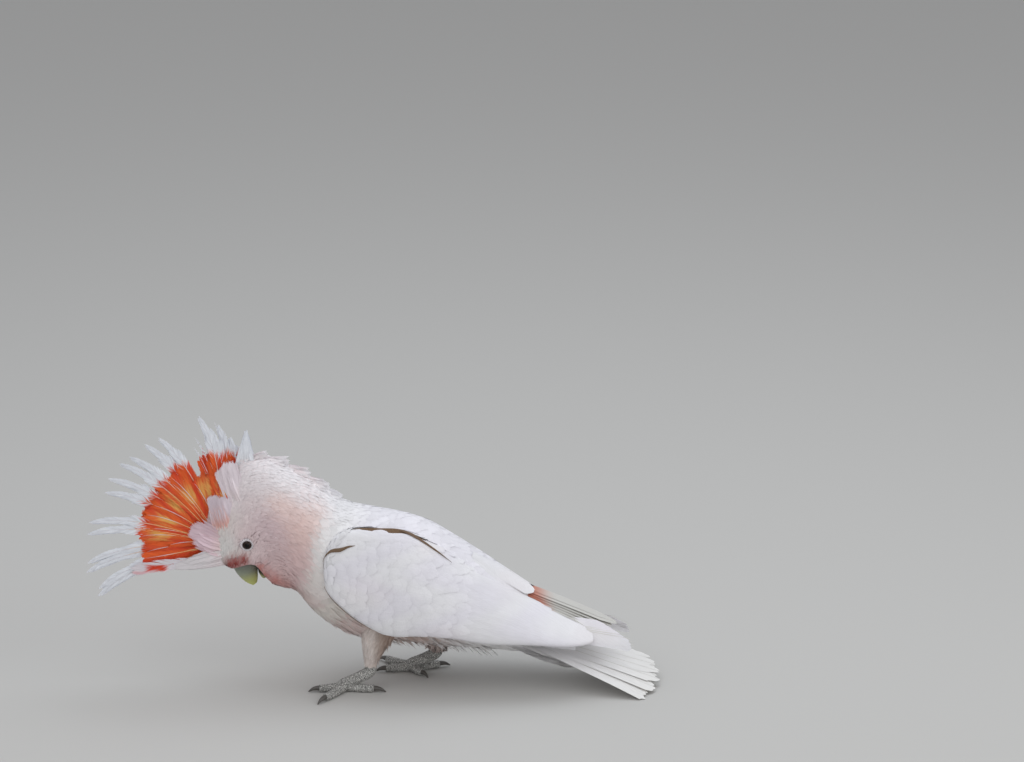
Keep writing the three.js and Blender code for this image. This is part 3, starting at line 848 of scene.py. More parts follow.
def nape(u, v):
    """1 along the back of the neck, where the feathers stand up, and 0 elsewhere."""
    return ramp(u, 0.23, 0.31) * (1 - ramp(u, 0.42, 0.5)) * ramp(np.cos(v), 0.5, 0.95)


def flat(value):
    """The same value at every u and v."""
    return lambda u, v: value + 0 * u


def even(*steps):
    """A spacing along and across that is the same everywhere."""
    return lambda u: tuple(step + 0 * u for step in steps)


NAPE_CLUMPS = [0.275, 0.312, 0.352, 0.395, 0.435, 0.468]  # where feathers stand up in clumps, as u along the body
CLUMP_REACH = 0.011


def nape_spikes():
    """Spiky white feathers that stand in clumps along the back of the neck: flat vanes, and upright ones beside
    them."""
    u, v = staggered_roots(body, (0.215, 0.5), (-0.55, 0.55), even(3.2, 2.4), jitter=0.5)
    clump = np.exp(-(np.abs(u[:, None] - NAPE_CLUMPS).min(axis=1) / CLUMP_REACH) ** 2)
    tall = clump * rng.uniform(0.6, 1, len(u)) * (1 - ramp(np.abs(v), 0.08, 0.26)) * (1 - 0.5 * ramp(u, 0.42, 0.48))
    grid, s, c = lay_feathers(body, u, v, 7 + 4 * tall, 2.4 + 1.2 * tall, depth=0.3, lift=0.3 + 3 * tall, rows=6,
                              columns=5, ragged=0.5, root_width=0.9, power=1.3, round_tip=0.7)
    # painted light: the flat spikes 5 % brighter than the plumage's own white
    yield grid, s, c, feather_tint(body(u, v), s, 1.0 + 0 * u, 0) * 1.05, u, v
    u, v, tall = u[tall > 0.15], v[tall > 0.15], tall[tall > 0.15]
    speed = np.linalg.norm(slopes(body, u, v)[0], axis=-1)
    ends = [lifted(body, u + share * (9 + 3 * tall) / speed, v + share * rng.normal(0, 0.06, len(u)), height)
            for share, height in ((0, 0 * tall - 1.6), (0.45, 0.8 + 1.4 * tall), (1, 0.8 + 7.0 * tall))]
    level = points(0 * u, 1.0, rng.normal(0, 0.12, len(u)))
    grid, s, c = plumes(*ends, unit(np.cross(ends[2] - ends[0], level)), 4.0 + 1.2 * tall, rows=7,
                        columns=5, round_tip=0.85, ragged=0.15, root_width=1.0, camber=0)
    # painted light: the upright spikes 8 % brighter than white, standing in for light through the thin vanes
    yield grid, s, c, feather_tint(body(u, v), s, 1.0 + 0 * u, 0) * 1.08, u, v


def flank_fluff():
    """Loose feathers that hang below the belly and the flanks."""
    u, v = staggered_roots(body, (0.55, 0.83), (math.pi - 1.2, math.pi + 1.2), even(6.5, 3.6))
    count = len(u)
    grid, s, c = lay_feathers(
        body, u, v, rng.uniform(11, 18, count), rng.uniform(2.6, 4.4, count), depth=0.4,
        lift=rng.uniform(0.2, 1.0, count) ** 1.5 * (4 + 6 * ramp(u, 0.62, 0.72)), rows=6, columns=5, ragged=0.6,
        root_width=0.7)
    return grid, s, c, feather_tint(body(u, v), s, 0.3 + 0.6 * ramp(u, 0.68, 0.76), 0), u, v


def leg_feathers():
    """Short feathers on both thighs, painted lighter in front and darker behind, and longer loose ones on the right
    thigh.
    """
    for side, x, _ in LEGS.values():
        surface = limb(thigh_rows(side, x))
        u, v = staggered_roots(surface, (0.03, 0.93), (0, 2 * math.pi), even(2.3, 1.7))
        root = surface(u, v)
        behind = ramp(root[:, 0] - (x + HEEL_BACK), -2, 8)
        grid, s, c = lay_feathers(
            surface, u, v, 9 + rng.uniform(-2, 2, len(u)), 2.6 + 0 * u, depth=0.5,
            lift=0.15 + behind * rng.uniform(0, 1, len(u)) ** 3 * 4, rows=5, columns=4, ragged=0.55, root_width=0.7)
        # painted light and shade: lighter than the plumage in front, darker and browner behind
        shade = mix(np.array([1.08, 1.08, 1.04]), [0.66, 0.60, 0.54], behind[:, None, None])
        yield grid, s, c, feather_tint(root, s, 0.35 + 0 * u) * shade, u, v
        if side > 0:
            u, v = staggered_roots(surface, (0.35, 0.95), (0, 2 * math.pi), even(2.6, 2.2))
            root = surface(u, v)
            grid, s, c = lay_feathers(surface, u, v, rng.uniform(13, 23, len(u)), 3.8 + 0 * u, depth=0.3,
                                      lift=rng.uniform(2, 7, len(u)), rows=5, columns=5, ragged=0.5, root_width=0.7)
            # painted shade: the far thigh's loose feathers darker and pinker than the plumage
            yield grid, s, c, feather_tint(root, s, 0 * u) * [0.80, 0.72, 0.68], u, v


def make_coat():
    """Fine tufts on the face, longer ones down the neck, and broad feathers over breast, belly and back."""
    face = body_batch(
        (0.0, 0.23), lambda u: (1.7 + 3 * u, 1.05 + 1.4 * u),
        length=lambda u, v: 4.4 + 24 * u, width=lambda u, v: 1.9 + 3.0 * u, rows=4, columns=4, ragged=0.55,
        lift=flat(0.12), tip_white=flat(0.12), depth=flat(0.45), root_width=0.75)
    coat_piece("coat_face", [face])
    neck = body_batch(
        (0.2, 0.5), lambda u: (2.3 + 4 * (u - 0.19), 1.4 + 2.4 * (u - 0.19)),
        length=lambda u, v: 9.5 + 20 * (u - 0.19) + 3 * nape(u, v),
        width=lambda u, v: 2.7 + 4.5 * (u - 0.19), rows=5, columns=5, ragged=0.5,
        lift=lambda u, v: 0.15 + 0.9 * nape(u, v) * rng.uniform(0.0, 1.0, len(u)) ** 2,
        tip_white=lambda u, v: 0.1 + 0.65 * nape(u, v), depth=flat(0.5), root_width=0.7, power=2.0)
    coat_piece("coat_neck", [neck, *nape_spikes()])
    trunk = body_batch(
        (0.45, 0.99), lambda u: (4.6 + 5 * (u - 0.46), 4.8 + 4 * (u - 0.46)),
        length=lambda u, v: 15 + 10 * ramp(u, 0.5, 0.7), width=lambda u, v: 8.5 + 5 * ramp(u, 0.5, 0.7),
        rows=6, columns=9, ragged=0.14, lift=flat(0.14), tip_white=flat(0.15), depth=flat(0.5))
    loose = flank_fluff()
    coat_piece("coat_trunk", [trunk])
    coat_piece("coat_legs", [*leg_feathers(), loose])


# ---- long feathers


def curves(root, bend, tip, across, s):
    """Points at s along quadratic curves from root over bend to tip, and the directions there: ahead, out of the
    vane, and across it."""
    a, b, d, level = (x[:, None, None, :] for x in (root, bend, tip, across))
    s = s[..., None]
    spine = (1 - s) ** 2 * a + 2 * s * (1 - s) * b + s**2 * d
    along = unit(2 * (1 - s) * (b - a) + 2 * s * (d - b))
    normal = unit(np.cross(along, level))
    return spine, along, normal, np.cross(normal, along)


def plumes(root, bend, tip, across, width, *, rows, columns, round_tip=0.25, ragged=0.04, root_width=0.4,
           widest=0.45, taper=0.1, camber=0.12, slant=0.0):
    """Long feathers, each a grid along a quadratic curve from root over bend to tip. s runs from 0 to 1 along it
    and c from -1 to 1 across; column c ends at 1 - round_tip * (c - slant)^2, less a random part of ragged. The
    vane lies along across, and its edges curve down by camber times the half width."""
    root, bend, tip, across = (np.broadcast_to(x, np.shape(root)).astype(float) for x in (root, bend, tip, across))
    count = len(root)
    width, slant = (np.broadcast_to(x, (count,))[:, None, None] for x in (width, slant))
    c = np.linspace(-1, 1, columns)[None, None, :]
    t = np.linspace(0, 1, rows)[None, :, None]
    column_end = 1 - round_tip * (c - slant) ** 2 - ragged * rng.random((count, 1, columns))
    s = t * column_end
    spine, _, normal, aside = curves(root, bend, tip, across, s)
    half = width / 2 * (root_width + (1 - root_width) * ramp(s, 0, widest)) * (1 - taper * ramp(s, 0.55, 1))
    c = c * np.ones_like(s)
    grid = spine + aside * (c * half)[..., None] - normal * (camber * c**2 * half)[..., None]
    return grid, s, c


QUILL_REACH = 0.95  # share of a feather's length at which its quill's colour ends


def shafts(root, bend, tip, across, width, lift=0.25):
    """Quills: narrow ridges of three points across that run along the same curves, just over the vane."""
    grid, s, c = plumes(root, bend, tip, across, width, rows=9, columns=3, round_tip=0, ragged=0,
                        root_width=1.0, taper=0.8, camber=0.9)
    over = unit(np.cross(np.gradient(grid[:, :, 1], axis=1), np.asarray(across, float)[:, None, :]))
    return grid + over[:, :, None, :] * lift, s * QUILL_REACH, c


BARB_POINTS = 4  # along one barb


def strands(root, bend, tip, across, half_width, *, barbs, angle=32, clump, loose=0.36, smooth_from=2.0):
    """A loose vane made of single barbs. Barb j leaves the shaft at s_j on one side, at an angle to it that
    closes towards the tip, bends forward as it goes, and reaches half_width(s_j) sideways, more or less by
    clumps, by a share called loose, of which a third is left beyond smooth_from. It is a strip that narrows to a
    point. Returns points, s and c."""
    count = len(root)
    j = np.arange(barbs)
    side = np.array([-1.0, 1.0])[None, :, None]
    s = 0.06 + 0.94 * (j + rng.uniform(0, 1, (count, 2, barbs))) / barbs
    foot, along, normal, aside = curves(root, bend, tip, across, s)
    aside = aside * side[..., None]
    groups = rng.uniform(0, 1, (count, 2, barbs // clump + 2))
    starts = rng.integers(0, clump, (count, 2, 1))
    own = np.take_along_axis(groups, (j + starts) // clump, axis=2)
    open_angle = np.radians(angle) * (1 - 0.55 * s) * (0.85 + 0.3 * own)
    loose = loose * (1 - 0.67 * ramp(s, smooth_from - 0.05, smooth_from + 0.1))
    reach = half_width(s) * (1.06 - loose * (1 - own)) * rng.uniform(0.93, 1.04, s.shape)
    length = reach / np.sin(open_angle)
    k = np.linspace(0, 1, BARB_POINTS)
    sideways = reach[..., None] * (1 - (1 - k) ** 1.35)
    forward = length[..., None] * np.cos(open_angle)[..., None] * k
    strip = np.linalg.norm(tip - root, axis=-1)[:, None, None] / barbs * 1.5
    thick = strip[..., None] * (1 - 0.75 * k**2)
    edge = np.array([-0.5, 0.5])
    ahead = forward[..., None] + thick[..., None] * edge * np.sin(open_angle)[..., None, None]
    out = sideways[..., None] - thick[..., None] * edge * np.cos(open_angle)[..., None, None] * 0.5
    out = np.maximum(out, 0)
    wobble = rng.normal(0, 0.08, s.shape)[..., None, None]
    wobble = wobble + loose[..., None, None] * (own[..., None, None] - 0.5) * k[:, None]
    grid = (foot[..., None, None, :] + along[..., None, None, :] * ahead[..., None]
            + aside[..., None, None, :] * out[..., None] + normal[..., None, None, :] * wobble[..., None])
    along_all = s[..., None, None] + 0 * out
    across_all = side[..., None, None] * out / np.maximum(reach[..., None, None], 1e-6)
    shape = (count * 2 * barbs, BARB_POINTS, 2)
    return grid.reshape(*shape, 3), along_all.reshape(shape), across_all.reshape(shape)


GOLDEN_SHARE = 0.6180339  # steps of this share of a whole spread evenly


def plume_part(grid, s, c, tint, key):
    """A batch for a piece of long feathers: bake coordinates spread each feather over a patch of its own."""
    count = grid.shape[0]
    vane = np.stack([(c + 1) / 2, s * 3 + rng.random((count, 1, 1)) * 9], axis=-1)
    cell = (np.arange(count) * GOLDEN_SHARE % 1)[:, None, None]
    bake = np.stack([0.01 + 0.96 * (key + 0 * s), 0.01 + 0.96 * cell + BAKE_PATCH * c], axis=-1)
    return grid, sheet_faces(*grid.shape[:3]), tint, vane, bake


# ---- crest


def crest_point(angle, radius, y=0.0):
    """A point at an angle in degrees and a distance from the crest's centre, moved sideways by y."""
    a = np.radians(angle)
    return points(CREST_CENTRE[0] + radius * np.cos(a), CREST_CENTRE[1] + y, CREST_CENTRE[2] + radius * np.sin(a))


def beside_head(p, side, clearance):
    """A point moved out to one side until it lies clear of the head's plumage, if it is not yet."""
    u, v = np.meshgrid(np.linspace(0, 0.5, 140), np.linspace(0, math.pi, 140), indexing="ij")
    head = body(u, v)
    apart = np.hypot(p[..., None, None, 0] - head[..., 0], p[..., None, None, 2] - head[..., 2])
    nearest = apart.reshape(*p.shape[:-1], -1).argmin(axis=-1)
    out = np.maximum(np.abs(p[..., 1]), head[..., 1].reshape(-1)[nearest] + clearance)
    return points(p[..., 0], side * out, p[..., 2])


def crest_colour(p, boundary, jitter):
    """Scarlet-orange near the head, flecked with gold half way out, and white beyond a ragged boundary."""
    offset = p - CREST_CENTRE
    radius = np.hypot(offset[..., 0], offset[..., 2]) + jitter
    angle = np.degrees(np.arctan2(offset[..., 2], offset[..., 0])) % 360
    ripple = np.sin(angle * 0.37 + 1.1) * 0.5 + np.sin(angle * 0.83) * 0.35 + np.sin(angle * 1.9 + 2) * 0.25
    red = mix(ORANGE, SCARLET, np.clip(0.35 + 0.5 * np.sin(angle * 0.61 + radius * 0.05), 0, 1))
    fleck = np.exp(-((radius - 50 + 3 * ripple) / 7.5) ** 2) * ramp(ripple, -0.35, 0.55) * ramp(187 - angle, 0, 12)
    colour = mix(red, GOLD, np.clip(fleck * 1.1, 0, 0.9))
    return mix(colour, CREST_WHITE, ramp(radius, boundary - 1.6, boundary + 1.6))


def crest_width(full, boundary):
    """Half width along a crest feather: broad in its coloured part, slender in its white tip, then pointed."""

    def half(s):
        slender = 1 - 0.48 * ramp(s, boundary - 0.14, boundary + 0.04)
        return full / 2 * (0.3 + 0.7 * ramp(s, 0.0, 0.35)) * slender * np.clip((1.0 - s) / 0.3, 0.03, 1) ** 0.8

    return half


def crest_feather(angle, reach, y, boundary, width, barbs, key, colour_to=None, trail=CREST_TRAIL):
    """One crest feather and its two quills, as parts of a mesh."""
    root = crest_point(angle - trail, 10, y * 0.3)[None]
    bend = crest_point(angle - 0.97 * trail, 0.7 * reach, y * 0.8)[None]
    tip = crest_point(angle, reach, y)[None]
    across = unit(np.cross(tip - root, [[0.0, 1.0, 0.0]]))
    split = 0.95 * boundary / reach
    grid, s, c = strands(root, bend, tip, across, crest_width(width, split), barbs=barbs, clump=7,
                         smooth_from=split)
    jitter = rng.normal(0, 1.8, (len(grid), 1, 1)) + rng.normal(0, 0.8)
    tint = varied(crest_colour(grid, colour_to or boundary, jitter), len(grid), 0.05)
    parts = [plume_part(grid, s, c, tint, key + 0.02 * s)]
    for lift in (0.3, -0.3):
        grid, s, c = shafts(root, bend, tip, across, 0.5, lift=lift)
        tint = mix(GOLD * [1, 1.1, 1.9], LILAC_WHITE, ramp(s, 0.35, 0.6))
        parts.append(plume_part(grid, s, c, tint, 0.985 + 0.005 * s))
    return parts


def make_crest():
    """The fanned crest: long split-tipped feathers on both sides of the middle plane and short ones between."""
    parts = []
    key = 0.0
    for i, (*ends, boundary) in enumerate(CREST_TIPS):
        for k, (angle, reach) in enumerate((ends[:2], ends[2:])):
            for layer in (-1, 1):
                y = layer * 1.3 + (1.5 if i % 2 else -1.5) + 0.4 * k
                parts += crest_feather(angle + layer * 0.4, reach - (layer > 0) * 2, y, boundary, 10.6, 76, key)
                key += 0.03
    for angle in np.linspace(83, 197, 54):
        if 187 < angle < 195 and rng.random() < 0.4:
            continue
        if 104 < angle < 118:
            reach = 55
        elif angle < 105:
            reach = 75
        elif 178 < angle < 185:
            reach = 40
        else:
            reach = np.interp(angle, (118, 150, 170, 200), (69, 66, 65, 60))
        reach += rng.uniform(-5, 1.5)
        parts += crest_feather(angle, reach, rng.uniform(-2.6, 2.6), reach * 2, 11, 40, 0.975, 95,
                               trail=8 - 16 * float(ramp(angle, 184, 196)))
    # thin plumes between the upper tips
    for angle, reach in ((102, 93), (104, 85), (91.8, 103), (87.5, 96), (82.2, 86)):
        parts += crest_feather(angle, reach, rng.uniform(-2, 2), 76, 2.6, 40, 0.95)
    # orange feathers that lie over the head's side between the two upper lobes
    for side in SIDES.values():
        for angle in (85, 90, 95, 100, 105):
            line = [beside_head(crest_point(angle - lean, radius), side, 0.9)[None]
                    for lean, radius in ((7, 40), (5, 47), (0, 58))]
            across = unit(np.cross(line[2] - line[0], [[0.0, side, 0.0]]))
            grid, s, c = strands(*line, across, crest_width(9, 2.0), barbs=50, clump=7)
            tint = crest_colour(grid, 200, rng.normal(0, 1.5, (len(grid), 1, 1)))
            parts.append(plume_part(grid, s, c, tint, 0.9 + 0.02 * s))
    # the lowest cover feather, white with a scarlet band along its lower side
    for side in SIDES.values():
        line = [np.array([[x, side * y, z]]) for x, y, z in ((-118, 6, 107.0), (-148, 5.5, 102.6), (-175, 4.5, 97.5))]
        grid, s, c = strands(*line, unit(np.array([[-0.12, 0.0, 1.0]])), lambda s: 5.2 * (
            0.55 + 0.45 * ramp(s, 0, 0.4)) * np.clip((1 - s) / 0.3, 0.05, 1) ** 0.6, barbs=90, clump=9, loose=0.2)
        x, z = grid[..., 0], grid[..., 2]
        band = ramp(-x, 149, 151) * (1 - ramp(-x, 164.5, 167)) * ramp(z, 96.4, 97.2) * (1 - ramp(z, 101.4, 102.2))
        tint = mix(mix(BLUSH, LILAC_WHITE, 0.75) * np.ones_like(grid), BLUSH * [1, 0.8, 0.85], 1 - ramp(z, 95.5, 97))
        parts.append(plume_part(grid, s, c, mix(tint, SCARLET, band), 0.96 + 0.01 * s))
    make_feathers("crest_feathers", parts, CREST, ["crest"])


# Soft lobes at the crest's base. Each row: first and last root, first and last tip, all (x, side, z), how far
# the tips of the middle feathers stand beyond the line between the outer ones, width, number, colours
LOBES = [
    [(-101, 12, 114), (-98, 12.5, 128), (-121, 8.5, 120.5), (-113, 8, 136), 12.5, 8.5, 12,
     mix(BLUSH, PINK, 0.4), LILAC_PINK],
    [(-107, 6, 131), (-96, 9, 137), (-113.5, 3, 159), (-99, 5, 160.5), 1, 7.5, 11,
     mix(SALMON * [1.0, 0.70, 0.55], LILAC_PINK, 0.35), mix(LILAC_PINK, LILAC_WHITE, 0.5)],
    [(-94, 8, 153), (-85, 8, 158), (-106, 4, 182.5), (-95, 6, 189), 2, 7.5, 11,
     mix(BLUSH, WHITE, 0.3), mix(LILAC_PINK, WHITE, 0.55)],
    [(-94, 3, 178), (-77, 4, 181), (-85.2, 1.0, 208), (-83.0, 1.0, 208), 6, 3.8, 11, WHITE, CREST_WHITE],
    [(-95, 10, 107), (-104, 12, 119), (-150, 3, 99), (-127, 6, 107.5), 1, 6.5, 16,
     mix(BLUSH, WHITE, 0.45), mix(BLUSH, WHITE, 0.75)],
    [(-96, 2, 106.5), (-107, 2, 112), (-149, 0.5, 98.5), (-132, 1, 104), 1, 7, 10,
     mix(BLUSH, WHITE, 0.45), mix(BLUSH, WHITE, 0.75)],
]


def make_lobes():
    """Soft pale feathers that hide the crest's base: each lobe is a row of broad round-tipped feathers on each
    side of the head, under a row of looser ones."""
    parts = []
    for n, (root_a, root_b, tip_a, tip_b, bulge, width, number, colour, tip_colour) in enumerate(LOBES):
        for side in SIDES.values():
            flip = np.array([1, side, 1])
            share = np.linspace(0, 1, number)
            root = mix(np.array(root_a, float), np.array(root_b, float), share)
            tip = mix(np.array(tip_a, float), np.array(tip_b, float), share)
            ahead = unit(tip.mean(0) - root.mean(0))
            tip = tip + ahead * (bulge * (1 - (2 * share - 1) ** 2) + rng.uniform(-1.0, 1.0, number))[:, None]
            for loose in (False, True):
                a = (root + rng.normal(0, 0.6, (number, 3))) * flip
                d = (tip - ahead * (1.0 if loose else 0.0) + rng.normal(0, 0.4, (number, 3))) * flip
                d[:, 1] += side * (0.5 if loose else 0) + side * 0.4 * (np.arange(number) % 2)
                bend = (a + d) / 2 + [0, side * 2.2, 0]
                if n in (1, 2):
                    a, d = beside_head(a, side, -1.8), beside_head(d, side, 0.9 + 0.4 * loose)
                    bend = beside_head(bend, side, 1.0 + 0.4 * loose)
                across = unit(np.cross(d - a, [[0.0, side, 0.0]]))
                if loose:
                    half = lambda s: width / 2 * (0.5 + 0.5 * ramp(s, 0, 0.4)) * (1 - 0.85 * ramp(s, 0.55, 1.0))
                    grid, s, c = strands(a, bend, d, across, half, barbs=40, clump=9, angle=26, loose=0.14)
                else:
                    grid, s, c = plumes(a, bend, d, across, width + 0 * share, rows=9, columns=9, ragged=0.10,
                                        round_tip=0.8 if n == 3 else 0.3, root_width=0.6, camber=0.25)
                tint = mix(colour * np.ones_like(grid), tip_colour, ramp(s, 0.12, 0.55))
                key = n * 0.13 + 0.05 * (side + 1) / 2 + 0.04 * s
                parts.append(plume_part(grid, s, c, varied(tint, len(grid), 0.02), key))
    make_feathers("crest_lobes", parts, SOFT, [])


# ---- wings


def wing_colour(p, s):
    """White with the faintest lilac and blush, and painted shade that greys it towards each feather's root."""
    cloud = 0.5 + 0.5 * np.sin(p[..., 0] * 0.09 + np.sin(p[..., 2] * 0.13) * 2)
    blush = 0.10 * ramp(np.sin(p[..., 0] * 0.05 + 1.0) * np.sin(p[..., 2] * 0.08 + 0.5), 0.2, 0.9)
    white = mix(mix(WHITE, LILAC_WHITE, cloud), BLUSH, blush)
    # painted shade: 6 % darker towards each feather's root, under the feather that overlaps it
    return white * (0.94 + 0.06 * ramp(s, 0.2, 0.9))[..., None]


def outwards(side, *arrays):
    """Grids whose columns are reversed on the left side, so that their faces point outwards."""
    return [array[:, :, ::-1] for array in arrays] if side < 0 else arrays


def long_on_wing(surface, side, start, end, width, lift=0.8, lowest=-0.4, stack=0.9):
    """Long feathers on a wing: each shaft runs straight in (u, angle) from start to end, and the vane spreads
    across by the wing's own measure at each place, no further than the wing's edges."""
    start, end = np.asarray(start, float), np.asarray(end, float)
    count = len(start)
    c = np.linspace(-1, 1, 9)[None, None, :]
    t = np.linspace(0, 1, 16)[None, :, None]
    s = t * (1 - 0.16 * c**2 - 0.008 * rng.random((count, 1, 9)))
    at = mix(start[:, None, None, :], end[:, None, None, :], s)
    u, angle = np.minimum(at[..., 0], 0.999), at[..., 1]
    _, along_v = slopes(surface, u, side * angle)
    half = np.asarray(width, float)[:, None, None] / 2 * (0.55 + 0.45 * ramp(s, 0, 0.4)) * (1 - 0.12 * ramp(s, 0.7, 1))
    angle = np.clip(angle + c * half / np.linalg.norm(along_v, axis=-1), lowest, math.pi + 0.06)
    order = np.arange(count)[:, None, None] / max(count - 1, 1)
    height = -0.6 + (lift + 0.6 + stack * order) * ramp(s, 0, 0.35) - 0.4 * c**2
    height = height - 1.8 * (1 - ramp(angle, -0.4, 0.4)) * (lowest < 0)
    grid = lifted(surface, u, side * angle, height)
    grid, s, c = outwards(side, grid, s, c * np.ones_like(s))
    return grid, s, c, wing_colour(grid, s), start[:, 0], start[:, 1]


# Places on a wing as (u, angle from its upper edge): the lower side of the dark gap under the shoulder feathers,
# the fold at the bend that the neck's feathers reach down to, and the lower side of the long shoulder feathers
SLIT = [(0.24, 0.0), (0.29, 0.10), (0.35, 0.22), (0.43, 0.25), (0.5, 0.20), (0.55, 0.0)]
FOLD = [(0.0, 0.45), (0.09, 0.62), (0.18, 0.88), (0.24, 0.74), (0.27, 0.25), (0.36, 0.0), (0.4, -0.5)]
SHOULDER = [(0.38, -0.5), (0.42, -0.1), (0.47, 0.14), (0.53, 0.33), (0.58, 0.54), (0.62, 0.44), (0.67, 0.1),
            (0.7, -0.5)]
# Strips of painted shade, a dark brown, as rows of (u, angle, half width), each with its height: in the fold at the
# bend, at the thin end of the gap and along the wing's front edge
RIBBONS = [
    ([(0.05, 0.58, 0.1), (0.12, 0.74, 1.0), (0.19, 0.90, 1.6), (0.245, 0.83, 0.8), (0.275, 0.80, 0.1)], 1.1),
    ([(0.44, 0.20, 0.6), (0.48, 0.24, 1.5), (0.52, 0.34, 1.2), (0.555, 0.45, 0.8), (0.585, 0.58, 0.1)], 1.0),
    ([(0.07, 2.58, 0.1), (0.12, 2.66, 0.4), (0.18, 2.74, 0.5), (0.25, 2.80, 0.4), (0.31, 2.84, 0.1)], 0.9),
]
RIBBON_ROWS = 40


def angle_at(rows, u):
    """The angle of one of those lines at u."""
    return np.interp(u, *np.array(rows).T)


def wing_ribbon(surface, side, rows, height):
    """Painted shade in a narrow gap: a dark strip along (u, angle, half width), closed to nothing at its ends."""
    u, angle, half = np.moveaxis(through(rows, np.linspace(0, 1, RIBBON_ROWS)), -1, 0)
    c = np.linspace(-1, 1, 5)[None, :]
    _, along_v = slopes(surface, u, side * angle)
    over = angle[:, None] + c * (half / np.linalg.norm(along_v, axis=-1))[:, None]
    u = np.broadcast_to(u[:, None], over.shape)
    grid = lifted(surface, u, side * over, height - 0.25 * c**2 + 0 * over)[None]
    s = np.linspace(0, 1, RIBBON_ROWS)[None, :, None] + 0 * c[None]
    grid, s, c = outwards(side, grid, s, c[None] + np.zeros((1, RIBBON_ROWS, 1)))
    # the strip's colour is painted shade
    return grid, s, c, SHADED_BROWN * np.ones_like(grid), np.array([rows[0][0]]), np.array([rows[0][1]])


def make_wing_core(name, side, surface):
    """A closed shell inside the wing, with painted shade, dark brown, in the gap along its upper edge."""
    u, v = once_round(70, 90, 0.02, 0.95, side)
    taper = 0.5 + 2.0 * ramp(u, 0.86, 0.95)
    shell = closed_ends(lifted(surface, u, v, -taper))
    from_edge = np.where(np.abs(v) > math.pi, np.abs(v) - 2 * math.pi, np.abs(v))
    inside = ramp(from_edge, -0.45, -0.2) * (1 - ramp(from_edge, 0.45, 0.6))
    # painted shade: the shell turns dark where it shows through the gap under the shoulder feathers
    brown = inside * ramp(angle_at(SLIT, u), 0.01, 0.12)
    tint = capped(mix(WHITE * 0.9 * np.ones_like(u)[..., None], SHADED_BROWN * 1.2, brown))
    if side < 0:
        shell, tint = shell[:, ::-1], tint[:, ::-1]
    make_tube(f"wing_core_{name}", shell, SKIN, [], tint)


def make_wings():
    """Each wing: a closed shell inside its form, rows of coverts, the long feathers of its rear, and primaries."""
    for name, side in SIDES.items():
        surface = wing(side)
        make_wing_core(name, side, surface)
        parts = []
        for u_range, v_range, spacing, length, width, rows, columns in (
            ((0.01, 0.40), (0.10, 2.98), lambda u: (5 + 10 * u, 5 + 5 * u), lambda u: 12 + 22 * u,
             lambda u: 8.5 + 11 * u, 5, 7),
            ((0.33, 0.66), (0.25, 2.9), even(9, 8.5), lambda u: 27 + 0 * u, lambda u: 14 + 0 * u, 8, 9),
        ):
            u, v = staggered_roots(surface, u_range, (side * v_range[0], side * v_range[1]), spacing)
            _, along_v = slopes(surface, u, v)
            room = width(u) / 2 / np.linalg.norm(along_v, axis=-1)
            kept = (np.abs(v) - room > angle_at(SLIT, u) - 0.02) | (u < 0.2)
            u, v = u[kept], v[kept]
            size = rng.uniform(0.92, 1.08, len(u))
            grid, s, c = lay_feathers(surface, u, v, length(u) * size, width(u) * size, depth=0.45, lift=0.3,
                                      rows=rows, columns=columns, ragged=0.07, curl=0.3)
            parts.append((grid, s, c, varied(wing_colour(grid, s), len(u), 0.015), u, v))
        order = np.linspace(0, 1, 11)
        parts.append(long_on_wing(
            surface, side, np.stack([0.50 + 0.09 * order, 2.85 - 2.2 * order], 1),
            np.stack([1.0 - 0.10 * order, 2.45 - 1.85 * order], 1), 20 - 3 * order))
        # slender feathers along the gap's lower side
        k = np.linspace(0.5, 0.10, 22)
        parts.append(long_on_wing(
            surface, side, np.stack([k, angle_at(SLIT, k) + 0.33], 1),
            np.stack([k + 0.15, angle_at(SLIT, k + 0.15) + 0.33], 1), 8.5 + 0 * k, lift=0.2, lowest=0.03, stack=0.3))
        parts += [wing_ribbon(surface, side, line, height) for line, height in RIBBONS]
        # feathers of neck and shoulder that lie over the wing, down to the fold and along the gap
        for line, u_range, spacing, length, width, columns, ragged, end in (
            (FOLD, (0.0, 0.34), (2.8, 2.0), (8, 12), 3.4, 5, 0.5, 0.5),
            (SHOULDER, (0.37, 0.69), (5, 4.5), (17, 22), 10, 9, 0.1, 0.0),
        ):
            u, v = staggered_roots(surface, u_range, (-side * 0.4, side * 1.0), even(*spacing))
            length = rng.uniform(*length, len(u))
            along_u, along_v = slopes(surface, u, v)
            end_u = u + length / np.linalg.norm(along_u, axis=-1)
            room = 0.45 * width / np.linalg.norm(along_v, axis=-1)
            kept = side * v + room < np.minimum(angle_at(line, u), angle_at(line, end_u))
            u, v, length = u[kept], v[kept], length[kept]
            grid, s, c = lay_feathers(
                surface, u, v, length, width + 0 * u, depth=0.4 - end, lift=1.6 if side < 0 else 0.3, rows=6,
                columns=columns, ragged=ragged, root_width=0.7, curl=0.2)
            tint = mix(wing_colour(grid, s), feather_tint(surface(u, v), s, 0.6 + 0 * u), end + 0 * s)
            parts.append((grid, s, c, tint, u, v))
        coat_piece(f"wing_feathers_{name}", parts, QUILL, [f"wing_{name}"])
        make_primaries(name, side)


